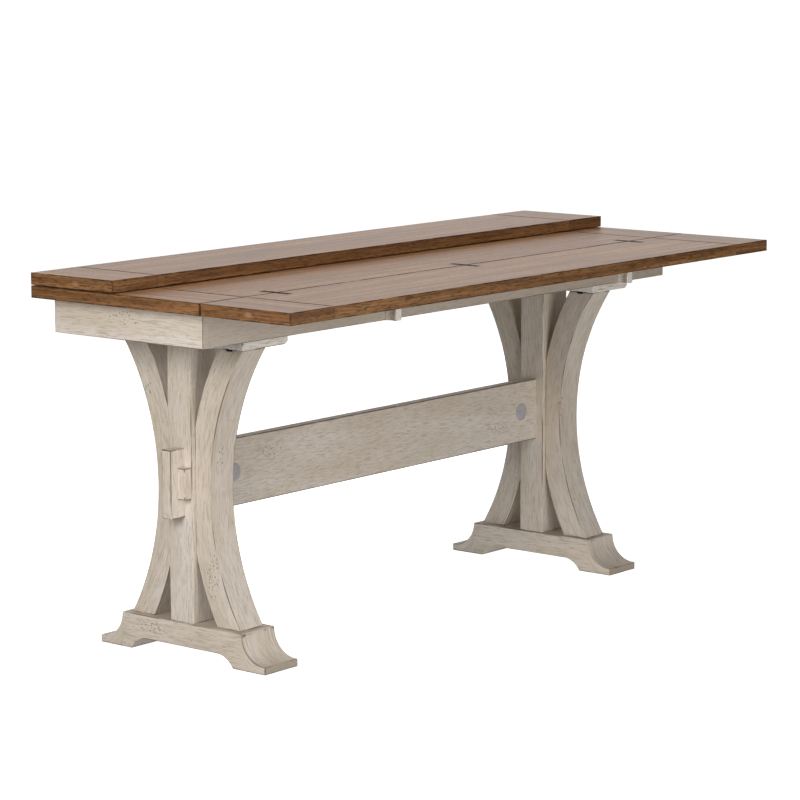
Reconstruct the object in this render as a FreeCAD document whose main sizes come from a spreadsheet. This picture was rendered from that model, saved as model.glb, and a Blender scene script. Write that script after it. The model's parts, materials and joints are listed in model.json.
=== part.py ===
"""Flip-top sofa table: a fixed top with two half-depth leaves on link hinges, sliding leaf
supports in the apron, and two trestles tied by a stretcher.

Millimetres. +X along the table, -Y towards the open front leaf, +Z up. The origin is on the
floor, below the middle of the table's box with the front leaf open and the rear leaf folded.
Pieces are drawn about the table's own middle and are then moved along Y by centre_shift.
"""
import FreeCAD
import Part
import Sketcher
import os
import re

SIZES = {
    # Boards of the fixed top and of the two leaves
    "top_length": 1626,
    "top_depth": 457,
    "top_thickness": 24.5,
    "top_level": 761,
    "leaf_depth": 227,
    "board_end_width": 126,
    "arris_ease": 1.2,
    "tongue_length": 14,
    "tongue_thickness": 8,
    "tongue_setback": 20,
    "tongue_clearance": 0.2,
    # Link hinges between the fixed top and each leaf
    "seam_gap": 3,
    "fold_gap": 1.5,
    "hinge_inset": 216,
    "hinge_width": 18,
    "hinge_length": 34,
    "pivot_depth": 3.2,
    "eye_radius": 2.9,
    "link_width": 5.8,
    "link_clearance": 0.3,
    "pin_radius": 1.25,
    "pin_clearance": 0.05,
    "recess_clearance": 0.1,
    "hinge_screw_first": 14,
    "hinge_screw_pitch": 12,
    "hinge_screw_radius": 1.5,
    "hinge_screw_head_radius": 3.3,
    "hinge_screw_head_height": 1.8,
    "hinge_screw_length": 18,
    # Apron frame below the fixed top
    "end_overhang": 38,
    "side_overhang": 27,
    "apron_height": 71,
    "rail_thickness": 20,
    "cross_rail_offset": 44,
    "cross_rail_width": 52,
    "cross_rail_height": 40,
    "corner_block_side": 40,
    "corner_block_height": 45,
    # Sliding leaf supports, their keepers and stop pins
    "support_inset": 595,
    "support_offset": 18,
    "support_width": 20,
    "support_bar_height": 45,
    "support_head_reach": 27,
    "support_clearance": 0.3,
    "support_end_gap": 24.7,
    "scoop_radius": 16,
    "scoop_depth": 4.5,
    "keeper_setback": 120,
    "keeper_length": 40,
    "keeper_wall": 14,
    "keeper_floor": 12,
    "stop_pin_radius": 4,
    "stop_pin_reach": 8,
    "stop_pin_margin": 10,
    # Trestles
    "trestle_inset": 226,
    "post_width": 90,
    "post_depth": 64,
    "leg_thickness": 68,
    "leg_width": 55,
    "leg_reach": 150,
    "leg_waist": 72,
    "leg_waist_rise": 273,
    "foot_width": 98,
    "foot_length": 456,
    "foot_height": 75,
    "foot_pad_reach": 165,
    "toe_height": 17,
    "arch_reach": 141,
    "arch_height": 26,
    "arch_run": 43,
    "glide_radius": 13,
    "glide_thickness": 5,
    "glide_proud": 1,
    "glide_inset": 34,
    "cleat_thickness": 23.5,
    "cleat_outset": 100,
    "cleat_round": 12,
    "bracket_width": 17,
    "bracket_thickness": 4,
    "bracket_length": 40,
    "bracket_setback": 28,
    # Stretcher, its wedged ends and its knock-down fittings
    "stretcher_thickness": 25,
    "stretcher_height": 140,
    "stretcher_level": 294,
    "housing_depth": 15,
    "housing_clearance": 0.1,
    "tenon_reach": 40,
    "key_thickness": 20,
    "key_height": 64,
    "key_reach": 18.5,
    "access_setback": 56,
    "access_radius": 14,
    "access_depth": 21,
    "cap_radius": 26,
    "cap_rim": 2,
    "cap_plug_depth": 5,
    "bolt_radius": 4,
    "bolt_grip": 40,
    "bolt_end": 3,
    "nut_radius": 7.5,
    "nut_height": 7,
    "nut_seat": 6,
    # Wood screws of the frame
    "lag_radius": 4,
    "lag_head_radius": 8,
    "lag_head_height": 5,
    "lag_grip": 50,
    "lag_sink": 8,
    "screw_radius": 2.5,
    "screw_head_radius": 5,
    "screw_head_height": 2.6,
    "screw_grip": 25,
    "cleat_screw_inset": 45,
    "block_screw_grip": 15,
    # Fits and cutting
    "seat_clearance": 0.02,
    "hole_clearance": 0.3,
    "overrun": 5,
}

DERIVED = {
    "top_under": "top_level - top_thickness",
    "seam_middle": "(top_depth + seam_gap) / 2",
    "pivot_offset": "pivot_depth + fold_gap / 2",
    "centre_shift": "(leaf_depth + (seam_gap + fold_gap) / 2) / 2",
    "panel_length": "top_length - 2 * board_end_width",
    "hinge_spacing": "top_length / 2 - hinge_inset",
    "slot_width": "link_width + 2 * link_clearance",
    "trestle_centre": "top_length / 2 - trestle_inset",
    "apron_bottom": "top_under - apron_height",
    "apron_half_length": "top_length / 2 - end_overhang",
    "apron_half_depth": "top_depth / 2 - side_overhang",
    "rail_inner_depth": "apron_half_depth - rail_thickness",
    "rail_inner_length": "apron_half_length - rail_thickness",
    "corner_place": "rail_inner_length - corner_block_side / 2",
    "corner_reach": "rail_inner_depth - corner_block_side / 2",
    "support_near": "top_length / 2 - support_inset",
    "support_far": "trestle_centre + support_offset",
    "support_top": "top_under - support_clearance",
    "support_bottom": "support_top - support_bar_height",
    "support_room": "support_width / 2 + support_clearance",
    "keeper_near": "rail_inner_depth - keeper_setback",
    "keeper_far": "keeper_near - keeper_length",
    "support_end": "rail_inner_depth - support_end_gap",
    "stop_pin_place": "support_end - stop_pin_margin - stop_pin_radius",
    "cleat_bottom": "apron_bottom - cleat_thickness",
    "leg_bend": "leg_reach - leg_waist",
    "leg_radius": "(leg_waist_rise ^ 2 + leg_bend ^ 2) / (2 * leg_bend)",
    "leg_centre_reach": "leg_waist + leg_radius",
    "leg_centre_level": "foot_height + leg_waist_rise",
    "leg_top_rise": "cleat_bottom - leg_centre_level",
    "cleat_reach": "leg_centre_reach - sqrt(leg_radius ^ 2 - leg_top_rise ^ 2)",
    "bracket_reach": "cleat_reach - bracket_setback",
    "cove_radius": "foot_height - toe_height",
    "arch_flat": "arch_reach - arch_run",
    "arch_radius": "(arch_run ^ 2 + arch_height ^ 2) / (2 * arch_height)",
    "post_inner": "trestle_centre - post_width / 2",
    "post_outer": "trestle_centre + post_width / 2",
    "stretcher_middle": "stretcher_level + stretcher_height / 2",
    "access_place": "post_inner - access_setback",
    "cleat_screw_place": "cross_rail_offset + cross_rail_width / 2",
    "cleat_screw_reach": "cleat_reach - cleat_screw_inset",
}

X_AXIS = FreeCAD.Vector(1, 0, 0)
Y_AXIS = FreeCAD.Vector(0, 1, 0)
Z_AXIS = FreeCAD.Vector(0, 0, 1)
UNTURNED = FreeCAD.Rotation()
ALONG_X = FreeCAD.Rotation(Z_AXIS, X_AXIS)
ALONG_Y = FreeCAD.Rotation(Z_AXIS, Y_AXIS)
HALF_TURN_Z = FreeCAD.Rotation(Z_AXIS, 180)
HALF_TURN_X = FreeCAD.Rotation(X_AXIS, 180)
QUARTER_TURN_X = FreeCAD.Rotation(X_AXIS, 90)

doc = FreeCAD.newDocument("SofaTable")
sheet = doc.addObject("Spreadsheet::Sheet", "Sizes")
nodes = []


def fill_sheet():
    """Write each driving size and then each derived size into the sheet, one row each."""
    rows = [(name, str(number)) for name, number in SIZES.items()]
    rows += [(name, "=" + text) for name, text in DERIVED.items()]
    for row, (name, content) in enumerate(rows, start=1):
        sheet.set(f"A{row}", name)
        sheet.set(f"B{row}", content)
        sheet.setAlias(f"B{row}", name)
    doc.recompute()


def formula(text):
    """Return a formula with each size's name pointing at its cell."""
    return re.sub(r"[a-z_]+", lambda word: f"Sizes.{word[0]}" if word[0] in ALIASES else word[0], text)


def value(text):
    """Return the number that a formula has now."""
    return float(sheet.evalExpression(formula(text)))


def bind(thing, **formulas):
    """Tie properties of an object to formulas."""
    for name, text in formulas.items():
        thing.setExpression(name, formula(text))
    return thing


def place(thing, x="0", y="0", z="0", turn=UNTURNED):
    """Turn an object and tie its position to formulas."""
    thing.Placement = FreeCAD.Placement(FreeCAD.Vector(), turn)
    for axis, text in zip("xyz", (x, y, z)):
        thing.setExpression(f"Placement.Base.{axis}", formula(text))
    return thing


def block(name, x, y, z):
    """Make a block from a pair of formulas for each axis: its low face and its high face."""
    box = doc.addObject("Part::Box", name)
    sides = [f"({high}) - ({low})" for low, high in (x, y, z)]
    bind(box, Length=sides[0], Width=sides[1], Height=sides[2])
    return place(box, x[0], y[0], z[0])


def rod(name, radius, length, x, y, z, turn=UNTURNED):
    """Make a cylinder that starts at a point and runs along +Z, or along the turned axis."""
    cylinder = doc.addObject("Part::Cylinder", name)
    bind(cylinder, Radius=radius, Height=length)
    return place(cylinder, x, y, z, turn)


def cone(name, low_radius, high_radius, height, x, y, z, turn=UNTURNED):
    """Make a cone frustum that starts at a point and runs along +Z, or along the turned axis."""
    frustum = doc.addObject("Part::Cone", name)
    bind(frustum, Radius1=low_radius, Radius2=high_radius, Height=height)
    return place(frustum, x, y, z, turn)


def fuse(name, *pieces):
    """Join pieces into one solid."""
    union = doc.addObject("Part::MultiFuse", name)
    union.Shapes = list(pieces)
    return union


def cut(name, base, *tools):
    """Cut tools out of a piece, one after the other."""
    for number, tool in enumerate(tools):
        result = doc.addObject("Part::Cut", f"{name}_{number}")
        result.Base = base
        result.Tool = tool
        base = result
    return base


def common(name, one, other):
    """Keep what two pieces share."""
    shared = doc.addObject("Part::Common", name)
    shared.Base = one
    shared.Tool = other
    return shared


def group(name, *pieces):
    """Hold separate solids together in one object."""
    compound = doc.addObject("Part::Compound", name)
    compound.Links = list(pieces)
    return compound


def node(label, *pieces, x="0", y="0", z="0", turn=UNTURNED):
    """Make a sub-part from its finished solids, moved from the table's middle to the origin."""
    part = group(label, *pieces)
    part.Label = label
    place(part, x, f"centre_shift + ({y})", z, turn)
    nodes.append(part)
    return part


def mirrored(side, low, high):
    """Return the low and high formulas of a span, mirrored to the side -1 or +1."""
    if side > 0:
        return low, high
    return f"-({high})", f"-({low})"


def blank(name, length, depth, thickness):
    """Make a board about the origin's Z axis: a padded rectangle with every arris eased."""
    body = doc.addObject("PartDesign::Body", name)
    sketch = body.newObject("Sketcher::SketchObject", f"{name}_outline")
    floor = next(item for item in body.Origin.OriginFeatures if item.Role == "XY_Plane")
    sketch.AttachmentSupport = [(floor, "")]
    sketch.MapMode = "FlatFace"
    half_length = value(f"({length}) / 2")
    half_depth = value(f"({depth}) / 2")
    corners = [
        FreeCAD.Vector(-half_length, -half_depth, 0),
        FreeCAD.Vector(half_length, -half_depth, 0),
        FreeCAD.Vector(half_length, half_depth, 0),
        FreeCAD.Vector(-half_length, half_depth, 0),
    ]
    for start, end in zip(corners, corners[1:] + corners[:1]):
        sketch.addGeometry(Part.LineSegment(start, end), False)
    for line in range(4):
        sketch.addConstraint(Sketcher.Constraint("Coincident", line, 2, (line + 1) % 4, 1))
    for line in (0, 2):
        sketch.addConstraint(Sketcher.Constraint("Horizontal", line))
    for line in (1, 3):
        sketch.addConstraint(Sketcher.Constraint("Vertical", line))
    sketch.addConstraint(Sketcher.Constraint("Symmetric", 0, 1, 1, 2, -1, 1))
    wide = sketch.addConstraint(Sketcher.Constraint("DistanceX", 0, 1, 0, 2, 2 * half_length))
    deep = sketch.addConstraint(Sketcher.Constraint("DistanceY", 1, 1, 1, 2, 2 * half_depth))
    sketch.setExpression(f"Constraints[{wide}]", formula(length))
    sketch.setExpression(f"Constraints[{deep}]", formula(depth))
    pad = body.newObject("PartDesign::Pad", f"{name}_pad")
    pad.Profile = sketch
    bind(pad, Length=thickness)
    doc.recompute()
    return body, pad


def eased(name, length, depth, thickness):
    """Make a board whose twelve arrises are all eased."""
    body, pad = blank(name, length, depth, thickness)
    ease = body.newObject("PartDesign::Chamfer", f"{name}_ease")
    ease.Base = (pad, [f"Edge{number}" for number in range(1, len(pad.Shape.Edges) + 1)])
    bind(ease, Size="arris_ease")
    return body


def hinge_stations(make):
    """Return what make(name suffix, x formula) builds at each of a leaf's three hinges."""
    return [make(suffix, f"{side} * hinge_spacing") for suffix, side in (("a", -1), ("b", 0), ("c", 1))]


def hinge_screw_places():
    """Return the distances of a hinge plate's screws from its pivot."""
    return ("hinge_screw_first", "hinge_screw_first + hinge_screw_pitch")


def hinge_screw(name, x, y, slack):
    """Make one countersunk screw, or with slack the hole for it, below the plate's top face."""
    head = cone(f"{name}_head", f"hinge_screw_radius + {slack}", f"hinge_screw_head_radius + {slack}",
                "hinge_screw_head_height", x, y, "pivot_depth - hinge_screw_head_height")
    shank = rod(f"{name}_shank", f"hinge_screw_radius + {slack}",
                f"hinge_screw_length - hinge_screw_head_height + {slack}",
                x, y, f"pivot_depth - hinge_screw_length - {slack}")
    return fuse(name, head, shank)


def hinge_plate(suffix, x):
    """Make one plate: a round nose on the pivot, a slot for the link, a pin bore and two holes."""
    low = f"{x} - hinge_width / 2"
    leaf = block(f"hinge_leaf_{suffix}", (low, f"{x} + hinge_width / 2"), ("0", "hinge_length"),
                 ("-pivot_depth", "pivot_depth"))
    nose = rod(f"hinge_nose_{suffix}", "pivot_depth", "hinge_width", low, "0", "0", ALONG_X)
    slot = block(f"hinge_slot_{suffix}", (f"{x} - slot_width / 2", f"{x} + slot_width / 2"),
                 ("-pivot_depth - overrun", "eye_radius + link_clearance"),
                 ("-pivot_depth - overrun", "pivot_depth + overrun"))
    bore = rod(f"hinge_bore_{suffix}", "pin_radius + seat_clearance", "hinge_width + 2 * overrun",
               f"{low} - overrun", "0", "0", ALONG_X)
    holes = [hinge_screw(f"hinge_hole_{suffix}{number}", x, y, "seat_clearance")
             for number, y in enumerate(hinge_screw_places())]
    return cut(f"hinge_plate_{suffix}", fuse(f"hinge_blank_{suffix}", leaf, nose), slot, bore, *holes)


def hinge_pin(suffix, x):
    """Make one hinge pin, as long as the plate is wide."""
    low = f"{x} - hinge_width / 2"
    return rod(f"hinge_pin_{suffix}", "pin_radius", "hinge_width", low, "0", "0", ALONG_X)


def hinge_link(suffix, x):
    """Make one link: two eyes, a web between them and a running bore in each eye."""
    low = f"{x} - link_width / 2"
    far = "2 * pivot_offset"
    eyes = [rod(f"link_eye_{suffix}{number}", "eye_radius", "link_width", low, y, "0", ALONG_X)
            for number, y in enumerate(("0", far))]
    web = block(f"link_web_{suffix}", (low, f"{x} + link_width / 2"), ("0", far),
                ("-eye_radius", "eye_radius"))
    bores = [rod(f"link_bore_{suffix}{number}", "pin_radius + pin_clearance", "link_width + 2 * overrun",
                 f"{low} - overrun", y, "0", ALONG_X) for number, y in enumerate(("0", far))]
    return cut(f"hinge_link_{suffix}", fuse(f"link_blank_{suffix}", *eyes, web), *bores)


def hinge_recess(suffix, x):
    """Make the recess that one plate fills, open at the board's edge and face."""
    return block(f"hinge_recess_{suffix}",
                 (f"{x} - hinge_width / 2 - recess_clearance", f"{x} + hinge_width / 2 + recess_clearance"),
                 ("-pivot_offset - overrun", "hinge_length + recess_clearance"),
                 ("-pivot_depth", "pivot_depth + overrun"))


def hinge_screw_pair(kind, suffix, x, slack):
    """Make the two screws of one plate, or with slack the holes for them."""
    pair = [hinge_screw(f"{kind}_{suffix}{number}", x, y, slack)
            for number, y in enumerate(hinge_screw_places())]
    return group(f"{kind}_pair_{suffix}", *pair)


def hinge_screws(suffix, x):
    """Make the two screws of one plate."""
    return hinge_screw_pair("hinge_screw", suffix, x, "0")


def hinge_pilots(suffix, x):
    """Make the two screw holes in the board below one plate."""
    return hinge_screw_pair("hinge_pilot", suffix, x, "seat_clearance")


def make_hinges():
    """Make the hinges' nodes and return, for each board, the cuts that take its plates."""
    plates = group("hinge_plates", *hinge_stations(hinge_plate))
    pins = group("hinge_pins", *hinge_stations(hinge_pin))
    links = group("hinge_links", *hinge_stations(hinge_link))
    screws = group("hinge_screws", *hinge_stations(hinge_screws))
    recesses = group("hinge_recesses", *hinge_stations(hinge_recess))
    pilots = group("hinge_pilots", *hinge_stations(hinge_pilots))
    near = "seam_middle - pivot_offset"
    level = "top_level - pivot_depth"
    frames = {
        "front_top": (UNTURNED, f"-({near})", level),
        "front_leaf": (HALF_TURN_Z, "-(seam_middle + pivot_offset)", level),
        "rear_top": (HALF_TURN_Z, near, level),
        "rear_leaf": (HALF_TURN_X, near, "top_level + fold_gap + pivot_depth"),
    }
    cuts = {}
    for side, (turn, y, z) in frames.items():
        node(f"{side}_hinge_plates", plates, y=y, z=z, turn=turn)
        node(f"{side}_hinge_pins", pins, y=y, z=z, turn=turn)
        node(f"{side}_hinge_screws", screws, y=y, z=z, turn=turn)
        cuts[side] = [place(group(f"{side}_{tool.Name}", tool), "0", y, z, turn)
                      for tool in (recesses, pilots)]
    node("front_hinge_links", links, y=f"-({near})", z=level, turn=HALF_TURN_Z)
    node("rear_hinge_links", links, y=near, z=level, turn=QUARTER_TURN_X)
    return cuts


def make_board(prefix, depth, y, z, cuts, end_cuts):
    """Make one board of the top: a long panel tongued into an end board at each end.

    The cuts go into the panel, and the end cuts, keyed by the side -1 or +1, into the end boards.
    """
    middle = f"{z} + top_thickness / 2"
    panel = place(eased(f"{prefix}_panel_blank", "panel_length", depth, "top_thickness"), "0", y, z)
    tongue = block(f"{prefix}_tongue",
                   ("-panel_length / 2 - tongue_length", "panel_length / 2 + tongue_length"),
                   (f"{y} - ({depth}) / 2 + tongue_setback", f"{y} + ({depth}) / 2 - tongue_setback"),
                   (f"{middle} - tongue_thickness / 2", f"{middle} + tongue_thickness / 2"))
    node(f"{prefix}_panel", cut(f"{prefix}_panel_cut", fuse(f"{prefix}_tongued", panel, tongue), *cuts))
    for side, hand in ((-1, "left"), (1, "right")):
        name = f"{prefix}_end_{hand}"
        end = place(eased(f"{name}_blank", "board_end_width", depth, "top_thickness"),
                    f"{side} * (top_length - board_end_width) / 2", y, z)
        groove = block(f"{name}_groove",
                       mirrored(side, "panel_length / 2 - overrun",
                                "panel_length / 2 + tongue_length + tongue_clearance"),
                       (f"{y} - ({depth}) / 2 + tongue_setback - tongue_clearance",
                        f"{y} + ({depth}) / 2 - tongue_setback + tongue_clearance"),
                       (f"{middle} - tongue_thickness / 2 - tongue_clearance",
                        f"{middle} + tongue_thickness / 2 + tongue_clearance"))
        node(name, cut(f"{name}_cut", end, groove, *end_cuts.get(side, ())))


def make_top():
    """Make the fixed top, the open front leaf and the folded rear leaf, with their hinges."""
    cuts = make_hinges()
    pilots = {side: corner_screws("corner_pilot", side, "seat_clearance") for side in (-1, 1)}
    make_board("fixed_top", "top_depth", "0", "top_under", cuts["front_top"] + cuts["rear_top"], pilots)
    make_board("front_leaf", "leaf_depth", "-(top_depth / 2 + seam_gap + leaf_depth / 2)", "top_under",
               cuts["front_leaf"], {})
    make_board("rear_leaf", "leaf_depth", "(top_depth - leaf_depth) / 2", "top_level + fold_gap",
               cuts["rear_leaf"], {})


def support_places():
    """Return the front supports' places along X; the rear ones stand half a turn round."""
    return (("left", "-support_near"), ("right", "support_far"))


def make_apron():
    """Make the four rails, the cross rails over the trestles and the corner blocks."""
    level = ("apron_bottom", "top_under")
    rail = block("rail_blank", ("-rail_inner_length", "rail_inner_length"),
                 ("-apron_half_depth", "-rail_inner_depth"), level)
    notches = [block(f"rail_notch_{hand}", (f"{x} - support_room", f"{x} + support_room"),
                     ("-apron_half_depth - overrun", "-rail_inner_depth + overrun"),
                     ("support_bottom - support_clearance", "top_under + overrun"))
               for hand, x in support_places()]
    long_rail = cut("long_rail", rail, *notches)
    node("apron_front_rail", long_rail)
    node("apron_rear_rail", long_rail, turn=HALF_TURN_Z)
    pilots = trestle_screws("cleat_pilot", "seat_clearance")
    for side, hand in ((-1, "left"), (1, "right")):
        end = block(f"end_rail_{hand}", mirrored(side, "rail_inner_length", "apron_half_length"),
                    ("-apron_half_depth", "apron_half_depth"), level)
        node(f"apron_{hand}_rail", end)
        centre = f"{side} * trestle_centre"
        cross = block(f"cross_rail_blank_{hand}",
                      (f"{centre} + cross_rail_offset", f"{centre} + cross_rail_offset + cross_rail_width"),
                      ("-rail_inner_depth", "rail_inner_depth"),
                      ("apron_bottom", "apron_bottom + cross_rail_height"))
        node(f"cross_rail_{hand}", cut(f"cross_rail_cut_{hand}", cross, *pilots[hand]))
    make_corner_blocks()


def corner_screws(kind, side, slack):
    """Make the two screws up through one end's corner blocks, or with slack the holes for them."""
    level = "top_under - corner_block_height"
    screws = []
    for face in (-1, 1):
        name = f"{kind}{side}{face}"
        x = f"{side} * corner_place"
        y = f"{face} * corner_reach"
        head = rod(f"{name}_head", f"screw_head_radius + {slack}", "screw_head_height", x, y,
                   f"{level} - screw_head_height")
        shank = rod(f"{name}_shank", f"screw_radius + {slack}",
                    f"corner_block_height + block_screw_grip + {slack}", x, y, level)
        screws.append(fuse(name, head, shank))
    return screws


def make_corner_blocks():
    """Make the glue blocks in the apron's corners and the screws that go up into the top."""
    blocks = []
    screws = []
    for side in (-1, 1):
        holes = corner_screws("corner_hole", side, "seat_clearance")
        for face, hole in zip((-1, 1), holes):
            name = f"corner_block{side}{face}"
            solid = block(f"{name}_blank",
                          mirrored(side, "rail_inner_length - corner_block_side", "rail_inner_length"),
                          mirrored(face, "rail_inner_depth - corner_block_side", "rail_inner_depth"),
                          ("top_under - corner_block_height", "top_under"))
            blocks.append(cut(name, solid, hole))
        screws += corner_screws("corner_screw", side, "0")
    node("corner_blocks", *blocks)
    node("corner_screws", *screws)


def make_supports():
    """Make the four sliding leaf supports with their stop pins, and the keepers that guide them."""
    keepers = []
    for hand, x in support_places():
        wide = (f"{x} - support_width / 2", f"{x} + support_width / 2")
        bar = block(f"support_bar_{hand}", wide,
                    ("-apron_half_depth", "support_end"), ("support_bottom", "support_top"))
        front = "-apron_half_depth - support_head_reach"
        head = block(f"support_head_{hand}", wide, (front, "-apron_half_depth"),
                     ("apron_bottom", "support_top"))
        scoop = rod(f"support_scoop_{hand}", "scoop_radius", "apron_height + 2 * overrun",
                    f"{wide[0]} - scoop_radius + scoop_depth", f"{front} + support_head_reach / 2",
                    "apron_bottom - overrun")
        middle = "(support_bottom + support_top) / 2"
        start = f"{wide[0]} - stop_pin_reach"
        span = "support_width + 2 * stop_pin_reach"
        hole = rod(f"stop_hole_{hand}", "stop_pin_radius + seat_clearance", f"{span} + 2 * overrun",
                   f"{start} - overrun", "stop_pin_place", middle, ALONG_X)
        pin = rod(f"stop_pin_{hand}", "stop_pin_radius", span, start, "stop_pin_place", middle, ALONG_X)
        support = cut(f"support_cut_{hand}", fuse(f"support_blank_{hand}", bar, head), scoop, hole)
        other = "right" if hand == "left" else "left"
        node(f"front_support_{hand}", support)
        node(f"front_stop_pin_{hand}", pin)
        node(f"rear_support_{other}", support, turn=HALF_TURN_Z)
        node(f"rear_stop_pin_{other}", pin, turn=HALF_TURN_Z)
        outside = block(f"keeper_block_{hand}",
                        (f"{x} - support_room - keeper_wall", f"{x} + support_room + keeper_wall"),
                        ("-keeper_near", "-keeper_far"),
                        ("support_bottom - support_clearance - keeper_floor", "top_under"))
        channel = block(f"keeper_channel_{hand}", (f"{x} - support_room", f"{x} + support_room"),
                        ("-keeper_near - overrun", "-keeper_far + overrun"),
                        ("support_bottom - support_clearance", "top_under + overrun"))
        keepers.append(cut(f"keeper_{hand}", outside, channel))
    front = group("front_keepers", *keepers)
    node("support_keepers", front, place(group("rear_keepers", front), turn=HALF_TURN_Z))


def trestle_screws(kind, slack):
    """Make the screws up through each trestle's cleat, or with slack the holes for them."""
    screws = {}
    for side, hand in ((-1, "left"), (1, "right")):
        screws[hand] = []
        for face in (-1, 1):
            name = f"{kind}_{hand}_{'front' if face < 0 else 'rear'}"
            x = f"{side} * trestle_centre + cleat_screw_place"
            y = f"{face} * cleat_screw_reach"
            head = cone(f"{name}_head", f"screw_head_radius + {slack}", f"screw_radius + {slack}",
                        "screw_head_height", x, y, "cleat_bottom")
            shank = rod(f"{name}_shank", f"screw_radius + {slack}",
                        f"cleat_thickness + screw_grip - screw_head_height + {slack}", x, y,
                        "cleat_bottom + screw_head_height")
            screws[hand].append(fuse(name, head, shank))
    return screws


def lag_screws(kind, centre, slack):
    """Make a trestle's two lag screws, down through the cleat and up through the foot."""
    head = f"lag_head_radius + {slack}"
    shank = f"lag_radius + {slack}"
    down = fuse(f"{kind}_upper",
                rod(f"{kind}_upper_head", head, "lag_head_height", centre, "0", "apron_bottom"),
                rod(f"{kind}_upper_shank", shank, f"cleat_thickness + lag_grip + {slack}",
                    centre, "0", f"cleat_bottom - lag_grip - {slack}"))
    seat = "arch_height + lag_sink"
    up = fuse(f"{kind}_lower",
              rod(f"{kind}_lower_head", head, "lag_head_height", centre, "0", f"{seat} - lag_head_height"),
              rod(f"{kind}_lower_shank", shank, f"foot_height + lag_grip - ({seat}) + {slack}",
                  centre, "0", seat))
    return down, up


def make_cleat(name, centre, tools):
    """Make the plate on top of a trestle, with the lower edge of its free end rounded."""
    wide = "leg_thickness / 2 + cleat_outset"
    body, pad = blank(f"{name}_blank", wide, "2 * cleat_reach", "cleat_thickness")
    end = pad.Shape.BoundBox.XMax
    lower = [number for number, edge in enumerate(pad.Shape.Edges, start=1)
             if abs(edge.CenterOfMass.x - end) + abs(edge.CenterOfMass.z) < Part.Precision.confusion()]
    rounding = body.newObject("PartDesign::Fillet", f"{name}_round")
    rounding.Base = (pad, [f"Edge{number}" for number in lower])
    bind(rounding, Radius="cleat_round")
    place(body, f"{centre} + (cleat_outset - leg_thickness / 2) / 2", "0", "cleat_bottom")
    node(name, cut(f"{name}_cut", body, *tools))


def make_foot(name, centre, lag):
    """Make a foot: coved toes, a flat pad, an arch below, and seats for glides and the lag screw."""
    wide = (f"{centre} - foot_width / 2", f"{centre} + foot_width / 2")
    through = (f"{wide[0]} - overrun", f"{wide[1]} + overrun")
    start = through[0]
    span = "foot_width + 2 * overrun"
    solid = block(f"{name}_blank", wide, ("-foot_length / 2", "foot_length / 2"),
                  ("glide_proud", "foot_height"))
    tools = []
    for face in (-1, 1):
        cove_y = f"{face} * (foot_pad_reach + cove_radius)"
        tools.append(rod(f"{name}_cove{face}", "cove_radius", span, start, cove_y, "foot_height", ALONG_X))
        tools.append(rod(f"{name}_arch_end{face}", "arch_radius", span, start, f"{face} * arch_flat",
                         "arch_height - arch_radius", ALONG_X))
        tools.append(rod(f"{name}_glide_seat{face}", "glide_radius + seat_clearance", "glide_thickness",
                         centre, f"{face} * (foot_length / 2 - glide_inset)", "0"))
    tools.append(block(f"{name}_arch", through, ("-arch_flat", "arch_flat"), ("-overrun", "arch_height")))
    sink = rod(f"{name}_lag_sink", "lag_head_radius + hole_clearance", "lag_sink + overrun", centre, "0",
               "arch_height - overrun")
    node(name, cut(f"{name}_cut", solid, *tools, sink, lag))


def make_leg(name, centre, face):
    """Make one curved leg, a ring segment held between post, foot and cleat, and its bracket."""
    wide = (f"{centre} - leg_thickness / 2", f"{centre} + leg_thickness / 2")
    start = f"{wide[0]} - overrun"
    span = "leg_thickness + 2 * overrun"
    centre_y = f"{face} * leg_centre_reach"
    level = "leg_centre_level"
    bend = cut(f"{name}_ring",
               rod(f"{name}_back", "leg_radius + leg_width", span, start, centre_y, level, ALONG_X),
               rod(f"{name}_hollow", "leg_radius", span, start, centre_y, level, ALONG_X))
    room = block(f"{name}_room", wide, mirrored(face, "post_depth / 2", "leg_centre_reach"),
                 ("foot_height", "cleat_bottom"))
    seat = mirrored(face, "bracket_reach - bracket_width", "bracket_reach")
    deep = (wide[0], f"{wide[0]} + bracket_length")
    low = "cleat_bottom - bracket_thickness"
    bracket = block(f"{name}_bracket", deep, seat, (low, "cleat_bottom"))
    pocket = block(f"{name}_pocket", (start, deep[1]), seat, (low, "cleat_bottom + overrun"))
    node(name, cut(f"{name}_cut", common(f"{name}_bend", room, bend), pocket))
    return bracket


def make_post(name, centre, side, tools):
    """Make a post with a housing for the stretcher inside and for the wedged end outside."""
    solid = block(f"{name}_blank", (f"{centre} - post_width / 2", f"{centre} + post_width / 2"),
                  ("-post_depth / 2", "post_depth / 2"), ("foot_height", "cleat_bottom"))
    half = "stretcher_thickness / 2 + housing_clearance"
    level = ("stretcher_level - housing_clearance",
             "stretcher_level + stretcher_height + housing_clearance")
    spans = (("post_inner - overrun", "post_inner + housing_depth"),
             ("post_outer - housing_depth", "post_outer + overrun"))
    housings = [block(f"{name}_housing{number}", mirrored(side, *span), (f"-({half})", half), level)
                for number, span in enumerate(spans)]
    node(name, cut(f"{name}_cut", solid, *housings, *tools))


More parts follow.
